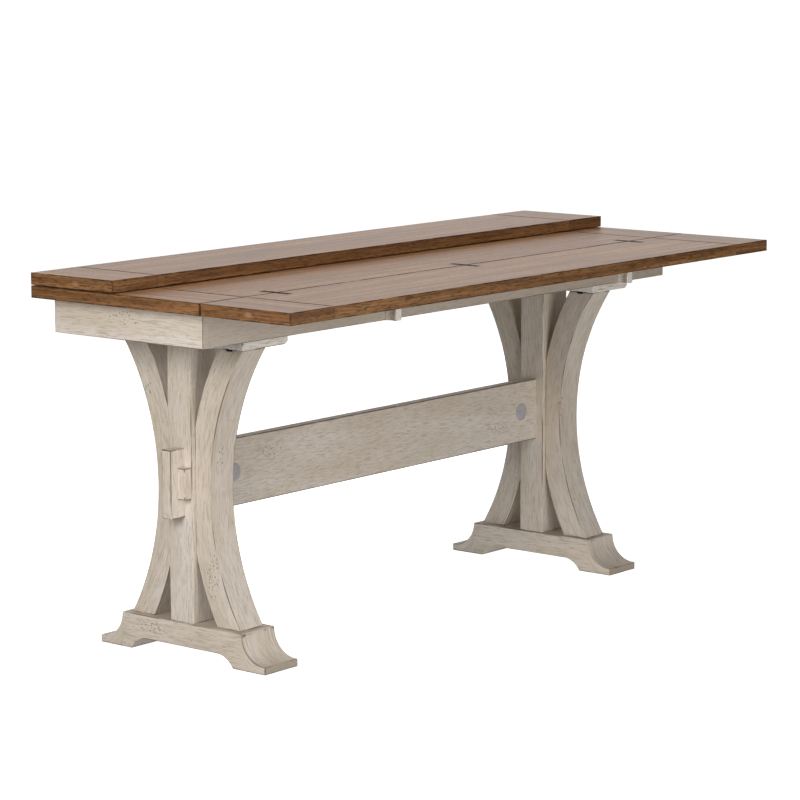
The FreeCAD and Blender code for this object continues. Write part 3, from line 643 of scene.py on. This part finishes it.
    def build(self) -> bpy.types.Object:
        """Put the surface into a mesh, with its grain, arris, spots and painted-shading attributes.

        Returns:
            The new object, linked to the scene.
        """
        points, worn = self.surface()
        rings, loop = worn.shape
        ends = [np.arange(loop)[::-1], np.arange((rings - 1) * loop, rings * loop)]
        faces = [*ring_faces(rings, loop).tolist(), *(end.tolist() for end in ends)]
        if self.axis is Axis.Y:
            faces = [face[::-1] for face in faces]
        flat = points.reshape(-1, 3)
        marked, coat = np.zeros(len(flat)), np.zeros(len(flat))
        for spot in self.spots:
            away = ((flat - spot.place) / spot.spread) ** 2
            marked = np.maximum(marked, np.exp(-away.sum(axis=1) / 2))
        # Painted light and shade: each shading zone's share goes onto the points inside it.
        for zone in self.coats:
            coat[np.all((flat > zone.low) & (flat < zone.high), axis=1)] = zone.share
        mesh = bpy.data.meshes.new(self.name)
        mesh.from_pydata(flat.tolist(), [], faces)
        grain = mesh.attributes.new("grain", "FLOAT_VECTOR", "POINT")
        grain.data.foreach_set("vector", self.grain(flat).astype(np.float32).ravel())
        for title, values in (("arris", worn), ("spots", marked), ("coat", coat)):
            scale = mesh.attributes.new(title, "FLOAT", "POINT")
            scale.data.foreach_set("value", values.astype(np.float32).ravel())
        closed(mesh)
        return linked(self.name, mesh)


def ring_faces(rings: int, sides: int) -> np.ndarray:
    """The four-sided faces between neighbouring rings of a grid that closes on itself.

    Args:
        rings: How many rings the grid has.
        sides: How many points each ring has.

    Returns:
        Rows of four point numbers: on round one ring, over to the next, and back.
    """
    ring, side = np.meshgrid(np.arange(rings - 1), np.arange(sides), indexing="ij")
    following = (side + 1) % sides
    return np.stack([ring * sides + side, ring * sides + following,
                     (ring + 1) * sides + following, (ring + 1) * sides + side], axis=-1).reshape(-1, 4)


def closed(mesh: bpy.types.Mesh) -> None:
    """Join points that meet, drop faces without area, and shade smooth except over sharp edges.

    Args:
        mesh: The mesh to finish in place.
    """
    work = bmesh.new()
    work.from_mesh(mesh)
    bmesh.ops.remove_doubles(work, verts=work.verts, dist=MERGE_DISTANCE)
    bmesh.ops.dissolve_degenerate(work, dist=MERGE_DISTANCE, edges=work.edges)
    work.to_mesh(mesh)
    work.free()
    mesh.shade_smooth()
    mesh.set_sharp_from_angle(angle=SHARP_ANGLE)


def linked(name: str, mesh: bpy.types.Mesh) -> bpy.types.Object:
    """Wrap a mesh in an object of the scene, at the origin.

    Args:
        name: The piece's name.
        mesh: Its mesh, with its place in its points.

    Returns:
        The new object.
    """
    made = bpy.data.objects.new(name, mesh)
    bpy.context.scene.collection.objects.link(made)
    return made


def dress(piece: bpy.types.Object, body: str, slot: str, *nodes: str) -> None:
    """Give a piece its finish, its body and the solids that it stands for.

    Args:
        piece: The new piece.
        body: The body that carries it.
        slot: The material slot of its finish.
        *nodes: The solids that it replaces.
    """
    piece.data.materials.append(bpy.data.materials[SLOT_NAMES[slot]])
    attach(piece, body)
    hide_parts(*nodes)
    LOG.info("%s on %s for %s", piece.name, body, ", ".join(nodes))


def at(x: float, y: float, z: float) -> Place:
    """A point given in millimetres from the floor below the fixed top's middle, in the frame's metres."""
    return (MIDDLE.x + x * MM, MIDDLE.y + y * MM, z * MM)


def pair(place: float) -> tuple[float, float]:
    """Two places just before and just after a step in a face."""
    return (place - HALF_STEP, place + HALF_STEP)


def face_coats(low: Vector, high: Vector, share: float) -> list[Zone]:
    """The painted light or shade on the -Y and +Y faces of a box.

    Args:
        low: The box's low corner.
        high: The box's high corner.
        share: How much lighter the faces are painted, as painted light, or darker below 0, as painted shade.

    Returns:
        One zone for each face, a little larger than the face.
    """
    return [Zone(Vector((low.x, y, low.z)) - FACE_REACH, Vector((high.x, y, high.z)) + FACE_REACH, share)
            for y in (low.y, high.y)]


@dataclass
class TopBoards:
    """The fixed top and both leaves: each a long panel between two cross-grained end boards."""

    arris: float = 0.8 * MM
    plate_width: float = 18 * MM
    clearance: float = 0.1 * MM
    edge_seam: float = 0.3
    top_seam: float = 1.4
    # Painted shadow: the glaze is made much heavier at the ends of the hinged edges, for the dark of the gap
    # there.
    hinged_end_shade: float = 2.2
    panel_shift: float = 3.0
    end_shift: float = 2.0
    knot_reach: float = 3.0
    knot_steps: int = 13
    knots: tuple[Spot, ...] = (Spot(at(-813, -354, 749), (0.03, 0.011, 0.004)),
                               Spot(at(-813, 103, 774), (0.03, 0.01, 0.004)))

    def recesses(self, plates: str, opens_up: bool) -> list[Recess]:
        """The three recesses that take one row of hinge plates.

        Args:
            plates: The node with the row's plates.
            opens_up: Whether the recesses open upwards at rest.

        Returns:
            One recess for each plate, open past the board's edge.
        """
        low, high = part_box(plates)
        half = self.plate_width / 2 + self.clearance
        margin = Vector((0, self.clearance, self.clearance))
        low_edge, high_edge = (low - margin).yz, (high + margin).yz
        return [Recess(Vector((x - half, *low_edge)), Vector((x + half, *high_edge)), opens_up)
                for x in (low.x + self.plate_width / 2, 0.0, high.x - self.plate_width / 2)]

    def build(self) -> None:
        """Build the three tops, each with its recesses on the side where its plates lie."""
        self.top("fixed_top", "frame", [*self.recesses("front_top_hinge_plates", True),
                                        *self.recesses("rear_top_hinge_plates", True)])
        self.top("front_leaf", "front_leaf", self.recesses("front_leaf_hinge_plates", True))
        self.top("rear_leaf", "rear_leaf", self.recesses("rear_leaf_hinge_plates", False))

    def seams(self, low: Vector, high: Vector, outer: Sequence[float], hinged: Sequence[float]) -> list[Zone]:
        """The zones for the glaze at a top's seams: little on its edges, more on its faces, and heavy at its
        hinged ends, where it is a painted shadow of the gap.

        Args:
            low: The panel's low corner.
            high: The panel's high corner.
            outer: The X places of the top's two ends.
            hinged: The Y places of its hinged edges.

        Returns:
            The zones, in the order in which they act.
        """
        reach = WEAR_REACH + self.arris
        inner = (low.x, high.x)
        edges = [Zone(Vector((x - reach, y - HALF_STEP, low.z + self.arris)),
                      Vector((x + reach, y + HALF_STEP, high.z - self.arris)), self.edge_seam)
                 for x in inner for y in (low.y, high.y)]
        faces = [Zone(Vector((x - reach, low.y + reach, z - self.arris)),
                      Vector((x + reach, high.y - reach, z + self.arris)), self.top_seam)
                 for x in inner for z in (low.z, high.z)]
        # Painted shadow: heavy glaze at the ends of the hinged edges.
        margin = Vector((WEAR_REACH, HALF_STEP, 0))
        ends = [Zone(Vector((x, y, low.z)) - margin, Vector((x, y, high.z)) + margin, self.hinged_end_shade)
                for x in outer for y in hinged]
        return edges + faces + ends

    def top(self, name: str, body: str, recesses: list[Recess]) -> None:
        """Build one top from its panel and end boards, each with its grain from another place.

        Args:
            name: The start of its nodes' names.
            body: The body that carries it.
            recesses: The hinge recesses cut in its panel.
        """
        left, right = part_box(f"{name}_end_left"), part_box(f"{name}_end_right")
        low, high = left[0].copy(), right[1].copy()
        low.x, high.x = left[1].x, right[0].x
        hinged = (low.y, high.y) if body == "frame" else (high.y,)
        zones = self.seams(low, high, (left[0].x, right[1].x), hinged)
        ends = [x for r in recesses for side in (r.low.x, r.high.x) for x in pair(side)]
        inner = [y for r in recesses for side in (r.low.y, r.high.y) for y in pair(side)]
        panel = Bar(f"{name}_panel_wood", low, high, Axis.X, self.arris,
                    Vector((low.y, self.panel_shift * high.z, high.y)), marks=ends, across_marks=inner,
                    recesses=recesses, zones=zones)
        dress(panel.build(), body, "stained_top", f"{name}_panel")
        spacing = np.linspace(-self.knot_reach, self.knot_reach, self.knot_steps)
        for side, (end_low, end_high) in (("left", left), ("right", right)):
            knots = [k for k in self.knots if side == "left" and end_low.z < k.place[2] < end_high.z
                     and end_low.y < k.place[1] < end_high.y]
            marks = [k.place[1] + d * k.spread[1] for k in knots for d in spacing]
            board = Bar(f"{name}_end_{side}_wood", end_low, end_high, Axis.Y, self.arris,
                        Vector((self.end_shift * end_low.x, end_low.y, end_high.z)), marks=marks,
                        spots=knots, zones=zones, long_ends=True)
            dress(board.build(), body, "stained_top", f"{name}_end_{side}")


@dataclass
class Apron:
    """The four rails under the top; the long ones are notched for the leaf supports."""

    arris: float = 0.9 * MM
    notch_floor: float = 690.9 * MM
    notch_clearance: float = 0.3 * MM
    rub: float = 1.04
    seam: float = 0.3
    # Painted shade: each rail's -Y and +Y faces are painted darker, standing in for the shade under the
    # leaves.
    coat: float = -0.42
    offset: Place = (0.1, 0.7, 0.2)
    worms: tuple[Spot, ...] = (Spot(at(-775, 5, 709), (0.03, 0.03, 0.007)),)

    def build(self) -> None:
        """Build the four rails, whose grain goes on round the corners from rail to rail."""
        along = Vector(self.offset)
        self.rail("left", Axis.Y, along.yxz, spots=self.worms, long_ends=True)
        self.rail("right", Axis.Y, along.yxz, long_ends=True)
        for side in ("front", "rear"):
            self.notched_rail(side, along)

    def rail(self, side: str, axis: Axis, offset: Vector, **shape: Any) -> None:
        """Build and dress one rail in the box of its node, with little wear where it meets its neighbours.

        Args:
            side: The side of the table that it is on.
            axis: The way that it runs.
            offset: Where its grain starts.
            **shape: The bar's marks, spots and notched edge.
        """
        node = f"apron_{side}_rail"
        low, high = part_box(node)
        corner_low, corner_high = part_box("apron_front_rail")
        seam_low, seam_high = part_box("apron_left_rail")
        reach = Vector((WEAR_REACH, WEAR_REACH, 0))
        seams = [Zone(Vector((x, y, low.z)) - reach, Vector((x, y, high.z)) + reach, self.seam)
                 for x in (corner_low.x, corner_high.x) for y in (seam_low.y, seam_high.y)]
        rail = Bar(f"{node}_wood", low, high, axis, self.arris, offset, rub=self.rub, zones=seams,
                   coats=face_coats(low, high, self.coat), **shape)
        dress(rail.build(), "frame", "painted_frame", node)

    def notched_rail(self, side: str, offset: Vector) -> None:
        """Build one long rail, with a notch for each of the two supports on its side.

        Args:
            side: front or rear.
            offset: Where its grain starts.
        """
        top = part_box(f"apron_{side}_rail")[1].z
        supports = [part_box(f"{side}_support_{hand}") for hand in ("left", "right")]
        slots = [(low.x - self.notch_clearance, high.x + self.notch_clearance) for low, high in supports]

        def edge(x: np.ndarray) -> np.ndarray:
            """The upper edge's height: level, and down at the notch floor between each slot's sides."""
            inside = np.any([(x > start) & (x < end) for start, end in slots], axis=0)
            return np.where(inside, self.notch_floor, top)

        marks = [m for slot in slots for end in slot for m in pair(end)]
        self.rail(side, Axis.X, offset, marks=marks, up_high=edge)


@dataclass
class LeafSupports:
    """The four sliding supports: a bar with a taller head that has a thumb scoop in one cheek."""

    arris: float = 1.2 * MM
    head: float = 27 * MM
    bar_low: float = 691.2 * MM
    scoop_radius: float = 16 * MM
    scoop_depth: float = 4.5 * MM
    scoop_steps: int = 15
    grain_start: tuple[float, float] = (0.4, 0.9)
    # Painted light: both end faces of each support are painted lighter, standing in for light that the lamps
    # do not bring there.
    coat: float = 0.9

    def build(self) -> None:
        """Build the front and the rear supports."""
        for row, way in (("front", 1), ("rear", -1)):
            for hand in ("left", "right"):
                self.support(f"{row}_support_{hand}", way)

    def support(self, name: str, way: int) -> None:
        """Build one support.

        Args:
            name: Its node and body.
            way: 1 where its head points to -Y and its scoop to -X, -1 where both are turned about.
        """
        low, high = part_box(name)
        tip = low.y if way > 0 else high.y
        neck, middle = tip + way * self.head, tip + way * self.head / 2
        chord = math.sqrt(self.scoop_radius ** 2 - (self.scoop_radius - self.scoop_depth) ** 2)

        def scoop(y: np.ndarray) -> np.ndarray:
            """How deep the scoop is: an arc of its radius about the head's middle, sunk by its depth."""
            arc = np.sqrt(np.maximum(self.scoop_radius ** 2 - (y - middle) ** 2, 0))
            return np.maximum(arc - self.scoop_radius + self.scoop_depth, 0)

        def left_cheek(y: np.ndarray) -> np.ndarray:
            """The -X cheek, in from its flat face by the scoop."""
            return low.x + scoop(y)

        def right_cheek(y: np.ndarray) -> np.ndarray:
            """The +X cheek, in from its flat face by the scoop."""
            return high.x - scoop(y)

        def under(y: np.ndarray) -> np.ndarray:
            """The lower face's height: that of the bar, and lower along the head."""
            return np.where((y - neck) * way > 0, self.bar_low, low.z)

        marks = [*pair(neck), *np.linspace(middle - chord, middle + chord, self.scoop_steps)]
        bar = Bar(f"{name}_wood", low, high, Axis.Y, self.arris, Vector((low.x, *self.grain_start)),
                  marks=marks, across_low=left_cheek if way > 0 else None,
                  across_high=right_cheek if way < 0 else None, up_low=under,
                  coats=face_coats(low, high, self.coat))
        dress(bar.build(), name, "painted_frame", name)


@dataclass
class Trestle:
    """One trestle: a coved foot, a square post, a curved leg on each side of it, and a cleat on top."""

    side: str
    arris: float = 1.5 * MM
    pad_half: float = 165 * MM
    pad_ease: float = 2.5 * MM
    cove_radius: float = 58 * MM
    arch_flat: float = 98 * MM
    arch_radius: float = 48.56 * MM
    arch_height: float = 26 * MM
    arch_reach: float = 141 * MM
    arch_turn: float = math.radians(62)
    ease_steps: int = 5
    cove_steps: int = 17
    arch_steps: int = 16
    leg_centre: float = 588.75 * MM
    leg_waist: float = 348 * MM
    leg_outer: float = 516.75 * MM
    leg_inner: float = 571.75 * MM
    cleat_round: float = 12 * MM
    round_steps: int = 10
    # Painted light: the whole cleat is painted lighter, its -X end face most, where the apron shades it from
    # the lamps.
    cleat_painted_light: float = 0.5
    cleat_end_painted_light: float = 1.0
    # Painted shade: the toes' end faces and the pad's top are painted darker and warmer, standing in for
    # shade.
    toe_painted_shade: float = -0.6
    pad_painted_shade: float = -0.3
    along_shift: float = 3.0
    up_shift: float = 5.0
    worms: ClassVar[dict[str, tuple[Spot, ...]]] = {
        "left_trestle_foot": (Spot(at(-636, 90, 53), (0.02, 0.034, 0.006)),),
        "left_trestle_rear_leg": (Spot(at(-621, 99, 550), (0.02, 0.007, 0.022)),),
        "left_trestle_front_leg": (Spot(at(-621, -76, 178), (0.012, 0.01, 0.032)),
                                   Spot(at(-592, -74, 410), (0.007, 0.02, 0.02))),
        "right_trestle_rear_leg": (Spot(at(553, 60, 187), (0.012, 0.006, 0.01)),),
        "right_trestle_front_leg": (Spot(at(553, -106, 159), (0.012, 0.004, 0.004)),
                                    Spot(at(553, -74, 372), (0.012, 0.006, 0.014)))}

    def build(self) -> None:
        """Build the trestle's five members."""
        self.foot()
        self.member("post", Axis.Z)
        self.leg("front", -1)
        self.leg("rear", 1)
        self.cleat()

    def member(self, part: str, axis: Axis, **shape: Any) -> None:
        """Build and dress one member in the box of its node.

        Args:
            part: The member's name within the trestle.
            axis: The way that it runs.
            **shape: The bar's marks, creases and curved faces.
        """
        node = f"{self.side}_trestle_{part}"
        low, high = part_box(node)
        offset = Vector((self.along_shift * low.x, low.y, self.up_shift * low.x))
        bar = Bar(f"{node}_wood", low, high, axis, self.arris, offset, spots=self.worms.get(node, ()),
                  **shape)
        dress(bar.build(), "frame", "painted_frame", node)

    def foot(self) -> None:
        """Build the foot: level pad, a cove down to each toe, and an arch below.

        The top is the pad, eased at its ends, or the cove's arc about a point level with the pad, whichever
        is lower. The underside is level, and rises to the arch's flat along an arc that is tangent to it.
        """
        low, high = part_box(f"{self.side}_trestle_foot")
        middle = (low.y + high.y) / 2
        cove_middle = self.pad_half + self.cove_radius
        ease_start = self.pad_half - self.pad_ease

        def top(y: np.ndarray) -> np.ndarray:
            """The upper face's height: the eased pad or the cove's arc.

            Args:
                y: Places along the foot.

            Returns:
                The height at each place.
            """
            out = np.abs(y - middle)
            into = np.clip(cove_middle - out, 0, self.cove_radius)
            cove = high.z - np.sqrt(self.cove_radius ** 2 - into ** 2)
            over = np.clip(out - ease_start, 0, self.pad_ease)
            eased = high.z - self.pad_ease + np.sqrt(self.pad_ease ** 2 - over ** 2)
            return np.where(out < self.pad_half, eased, np.minimum(cove, high.z - self.pad_ease))

        def under(y: np.ndarray) -> np.ndarray:
            """The lower face's height: level, or the arch with its rounded shoulders.

            Args:
                y: Places along the foot.

            Returns:
                The height at each place.
            """
            past = np.clip(np.abs(y - middle) - self.arch_flat, 0, self.arch_reach - self.arch_flat)
            rise = np.sqrt(self.arch_radius ** 2 - past ** 2) - self.arch_radius + self.arch_height
            return np.where(np.abs(y - middle) < self.arch_reach, np.maximum(rise, low.z), low.z)

        ease = ease_start + self.pad_ease * np.sin(np.linspace(0, math.pi / 2, self.ease_steps))
        cove = cove_middle - self.cove_radius * np.cos(np.linspace(0, math.pi / 2, self.cove_steps)[1:])
        arch = self.arch_flat + self.arch_radius * np.sin(np.linspace(0, self.arch_turn, self.arch_steps))
        half = np.concatenate([ease, pair(self.pad_half), cove, arch, pair(self.arch_reach)])
        crease = [middle - self.pad_half, middle + self.pad_half]
        # The pad's top and the toes' end faces take painted shade.
        pad = Zone(Vector((low.x, crease[0], high.z - HALF_STEP)),
                   Vector((high.x, crease[1], high.z)) + SHADING_REACH, self.pad_painted_shade)
        self.member("foot", Axis.Y, marks=[*(middle + half), *(middle - half)], creases=crease,
                    up_low=under, up_high=top, bend=top, coats=[*face_coats(low, high, self.toe_painted_shade), pad])

    def leg(self, row: str, way: int) -> None:
        """Build one leg between two arcs about one point; its inner face stops against the post.

        Args:
            row: front or rear.
            way: -1 for the front leg, 1 for the rear leg.
        """
        low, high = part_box(f"{self.side}_trestle_post")
        middle = (low.y + high.y) / 2

        def arc(z: np.ndarray, radius: float) -> np.ndarray:
            """How far an arc of this radius about the leg's centre lies from the trestle's middle."""
            return self.leg_centre - np.sqrt(radius ** 2 - (z - self.leg_waist) ** 2)

        def inner(z: np.ndarray) -> np.ndarray:
            """The face towards the post."""
            return middle + way * np.maximum((high.y - low.y) / 2, arc(z, self.leg_inner))

        def outer(z: np.ndarray) -> np.ndarray:
            """The face away from the post."""
            return middle + way * arc(z, self.leg_outer)

        faces = (inner, outer) if way > 0 else (outer, inner)
        self.member(f"{row}_leg", Axis.Z, up_low=faces[0], up_high=faces[1], bend=outer)

    def cleat(self) -> None:
        """Build the cleat, whose lower edge is rounded at its +X end."""
        low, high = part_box(f"{self.side}_trestle_cleat")
        centre = high.x - self.cleat_round

        def under(x: np.ndarray) -> np.ndarray:
            """The lower face's height: level, then up along a quarter round."""
            past = np.clip(x - centre, 0, self.cleat_round)
            return low.z + self.cleat_round - np.sqrt(self.cleat_round ** 2 - past ** 2)

        quarter = centre + self.cleat_round * np.sin(np.linspace(0, math.pi / 2, self.round_steps))
        # The cleat takes painted light, most on its -X end face.
        end = Vector((low.x, high.y, high.z))
        coats = [Zone(low - SHADING_REACH, corner + SHADING_REACH, share)
                 for corner, share in ((high, self.cleat_painted_light), (end, self.cleat_end_painted_light))]
        self.member("cleat", Axis.X, marks=quarter[:-1], up_low=under, coats=coats)


@dataclass
class Stretcher:
    """The stretcher board between the posts, its wedged tenon ends, their keys and the bolts' cover caps."""

    arris: float = 1.4 * MM
    tenon_run: float = 55 * MM
    key_run: float = 20 * MM
    cap_rim: float = 1.5 * MM
    cap_rings: int = 12
    cap_sides: int = 48
    rub: float = 1.1
    # Partly painted shade: the tenons' and keys' wear is raised, so their dark worn outlines also stand for
    # the shadow gaps where they meet; the key's front arris keeps less, so the dark falls on its sides.
    tenon_wear_and_gap_shade: float = 1.04
    key_wear_and_gap_shade: float = 1.02
    key_front: float = 0.85
    # Painted light: the board's top face is painted lighter, where the table top shades it.
    top_painted_light: float = 0.9
    offset: Place = (0.2, 0.5, 0.8)
    end_offset: float = 0.1
    worms: tuple[Spot, ...] = (Spot(at(-372, -12.5, 394), (0.026, 0.01, 0.007)),
                               Spot(at(395, -12.5, 332), (0.024, 0.01, 0.006)))

    def build(self) -> None:
        """Build the board, then the pieces at its ends."""
        low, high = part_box("stretcher")
        # The top face takes painted light.
        top = Zone(Vector((low.x, low.y, high.z - HALF_STEP)), high + SHADING_REACH, self.top_painted_light)
        board = Bar("stretcher_wood", low, high, Axis.X, self.arris, Vector(self.offset), spots=self.worms,
                    rub=self.rub, coats=[top])
        dress(board.build(), "frame", "painted_frame", "stretcher")
        self.end_pieces("stretcher_tenon_ends", self.tenon_run, self.tenon_wear_and_gap_shade, 1.0)
        self.end_pieces("stretcher_keys", self.key_run, self.key_wear_and_gap_shade, self.key_front)
        self.caps()

    def end_pieces(self, node: str, run: float, rub: float, front: float) -> None:
        """Build the two upright pieces of a node, one at each end of its box.

        Args:
            node: The node with both pieces.
            run: Each piece's size along X.
            rub: How far its wear goes; the dark outlines that it gives are partly painted shade.
            front: The share of wear on its arris towards -X and -Y.
        """
        low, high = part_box(node)
        reach = Vector((WEAR_REACH, WEAR_REACH, 0))
        for side, start in (("left", low.x), ("right", high.x - run)):
            near, far = Vector((start, *low.yz)), Vector((start + run, *high.yz))
            foot = Vector((near.x, near.y, near.z + WEAR_REACH))
            head = Vector((near.x, near.y, far.z - WEAR_REACH))
            piece = Bar(f"{node}_{side}_wood", near, far, Axis.Z, self.arris,
                        Vector((near.x, self.end_offset, run)), rub=rub,
                        zones=[Zone(foot - reach, head + reach, front)])
            dress(piece.build(), "frame", "painted_frame", node)

    def caps(self) -> None:
        """Build both cover caps as a surface of revolution about Y.

        The profile is a short rim, then a shallow dome: its height is that of the rim plus the rest times the
        root of one less the squared share of the radius.
        """
        low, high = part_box("stretcher_bolt_caps")
        radius = (high.z - low.z) / 2
        dome = np.sin(np.linspace(0, math.pi / 2, self.cap_rings))
        share = np.append(dome, 1.0)
        height = np.append(np.sqrt(1 - dome ** 2) * (high.y - low.y - self.cap_rim) + self.cap_rim, 0)
        angle = np.linspace(0, 2 * math.pi, self.cap_sides, endpoint=False)
        back = np.arange(len(dome) * self.cap_sides, len(share) * self.cap_sides)
        faces = [face[::-1] for face in (*ring_faces(len(share), self.cap_sides).tolist(), back.tolist())]
        for side, x in (("left", low.x + radius), ("right", high.x - radius)):
            points = np.stack([x + radius * np.outer(share, np.cos(angle)),
                               np.repeat(high.y - height[:, None], self.cap_sides, axis=1),
                               (low.z + high.z) / 2 + radius * np.outer(share, np.sin(angle))], axis=-1)
            mesh = bpy.data.meshes.new(f"stretcher_cap_{side}")
            mesh.from_pydata(points.reshape(-1, 3).tolist(), [], faces)
            closed(mesh)
            dress(linked(f"stretcher_cap_{side}", mesh), "frame", "cap_plastic", "stretcher_bolt_caps")


class Hardware:
    """The solids that keep their own shape: hinges, screws, glides, blocks, keepers and pins."""

    def build(self) -> None:
        """Give each solid that still shows the finish of its slot."""
        for part in frame["record"]["subparts"]:
            solid = frame["nodes"][part["node"]]
            if not solid.hide_render:
                solid.data.materials.clear()
                solid.data.materials.append(bpy.data.materials[SLOT_NAMES[part["material_slot"]]])
                LOG.info("%s keeps its solid", part["node"])


@dataclass(frozen=True)
class SoftBox:
    """A square soft light: its name, place, length of side, power in watts, and the point that it faces."""

    name: str
    place: Place
    size: float
    power: float
    aim: Place = (0.0, 0.1, 0.5)

    def hang(self) -> None:
        """Hang the light in the scene, where only the table and not the camera sees it."""
        data = bpy.data.lights.new(self.name, "AREA")
        data.size, data.energy = self.size, self.power
        box = bpy.data.objects.new(self.name, data)
        box.location = self.place
        box.rotation_euler = (Vector(self.aim) - Vector(self.place)).to_track_quat("-Z", "Y").to_euler()
        box.visible_camera = False
        bpy.context.scene.collection.objects.link(box)


@dataclass
class Studio:
    """A white sweep and soft boxes: keys on the left, fills all round, and a sheen from behind."""

    azimuth: float = math.radians(50.6208)
    elevation: float = math.radians(-9.1014)
    roll: float = math.radians(-0.1483)
    lens: float = 135.7004
    sensor: float = 36.0
    eye: Place = (-4.95261, -4.00326, 1.48272)
    boxes: tuple[SoftBox, ...] = (
        SoftBox("key", (-3.2, -0.5, 1.5), 1.2, 56.0),
        SoftBox("low_key", (-3.0, -1.1, 0.4), 1.0, 7.0),
        SoftBox("high_key", (-2.5, -1.8, 2.6), 2.0, 24.0),
        SoftBox("front_fill", (-0.6, -3.0, 0.4), 2.0, 46.0),
        SoftBox("top_fill", (0.0, 0.0, 3.2), 2.0, 58.0),
        SoftBox("floor_fill", (0.0, 0.0, 0.0005), 4.0, 21.0, (0.0, 0.0, 1.0)),
        SoftBox("sheen", (3.0, 2.6, 1.3), 4.0, 57.0, (0.0, 0.1, 0.7)))
    sweep_reach: float = 60.0
    sweep_glow: float = 1.05
    sweep_grey: float = 0.5
    sweep_steps: int = 9
    sweep_sides: int = 64
    sweep_shares: tuple[float, ...] = (0.125, 0.5)

    def build(self) -> None:
        """Set up the camera, the lights and the sweep."""
        scene = bpy.context.scene
        scene.view_settings.view_transform = "Standard"
        self.camera(scene)
        for box in self.boxes:
            box.hang()
        self.sweep()
        scene.world = bpy.data.worlds.new("dark surround")
        scene.world.use_nodes = True
        scene.world.node_tree.nodes["Background"].inputs["Strength"].default_value = 0.0

    def camera(self, scene: bpy.types.Scene) -> None:
        """Place the camera at the photograph's viewing angle.

        Args:
            scene: The scene that takes it.
        """
        level = math.cos(self.elevation)
        forward = Vector((math.sin(self.azimuth) * level, math.cos(self.azimuth) * level,
                          math.sin(self.elevation)))
        right = forward.cross(Vector((0, 0, 1))).normalized()
        over = right.cross(forward)
        tilted = math.cos(self.roll) * right + math.sin(self.roll) * over
        over = -math.sin(self.roll) * right + math.cos(self.roll) * over
        data = bpy.data.cameras.new("camera")
        data.lens, data.sensor_width = self.lens, self.sensor
        eye = bpy.data.objects.new("camera", data)
        turned = Matrix((tilted, over, -forward)).transposed().to_4x4()
        eye.matrix_world = Matrix.Translation(self.eye) @ turned
        scene.collection.objects.link(eye)
        scene.camera = eye

    def sweep(self) -> None:
        """Lay the plain pale floor, which curves up far away into a wall all round.

        The profile is level to half the reach, then a quarter circle up; it is turned about Z. Only the
        camera sees its glow; the soft box on the floor gives the light that such a floor throws back.
        """
        angle = np.linspace(0, math.pi / 2, self.sweep_steps)
        half = self.sweep_reach / 2
        level = np.array([MM, *(share * half for share in self.sweep_shares)])
        out = np.concatenate([level, half + half * np.sin(angle)])
        up = np.concatenate([0 * level, half * (1 - np.cos(angle))])
        turn = np.linspace(0, 2 * math.pi, self.sweep_sides, endpoint=False)
        points = np.stack([np.outer(out, np.cos(turn)), np.outer(out, np.sin(turn)),
                           np.repeat(up[:, None], self.sweep_sides, axis=1)], axis=-1)
        faces = ring_faces(len(out), self.sweep_sides)[:, ::-1]
        mesh = bpy.data.meshes.new("studio_sweep")
        mesh.from_pydata(points.reshape(-1, 3).tolist(), [],
                         [*faces.tolist(), np.arange(self.sweep_sides).tolist()])
        mesh.shade_smooth()
        paper = bpy.data.materials.new("white background paper")
        paper.use_nodes = True
        paper.node_tree.nodes.clear()
        grey = (self.sweep_grey, self.sweep_grey, self.sweep_grey, 1)
        shader = add(paper.node_tree, "BsdfPrincipled", {
            "Base Color": grey, "Roughness": 1.0, "Specular IOR Level": 0.0, "Emission Color": (1, 1, 1, 1),
            "Emission Strength": self.sweep_glow})
        add(paper.node_tree, "OutputMaterial", {"Surface": shader})
        mesh.materials.append(paper)
        floor = linked("studio_sweep", mesh)
        floor.visible_diffuse = floor.visible_glossy = floor.visible_shadow = False


def main() -> None:
    """Make the finishes, build each sub-assembly, and set up the studio."""
    for finish in FINISHES:
        finish.material()
    for part in (TopBoards(), Apron(), LeafSupports(), Trestle("left"), Trestle("right"), Stretcher(),
                 Hardware(), Studio()):
        part.build()
        LOG.info("%s done", type(part).__name__)


if __name__ == "__main__":
    logging.basicConfig(level=logging.INFO, format="%(message)s")
    main()
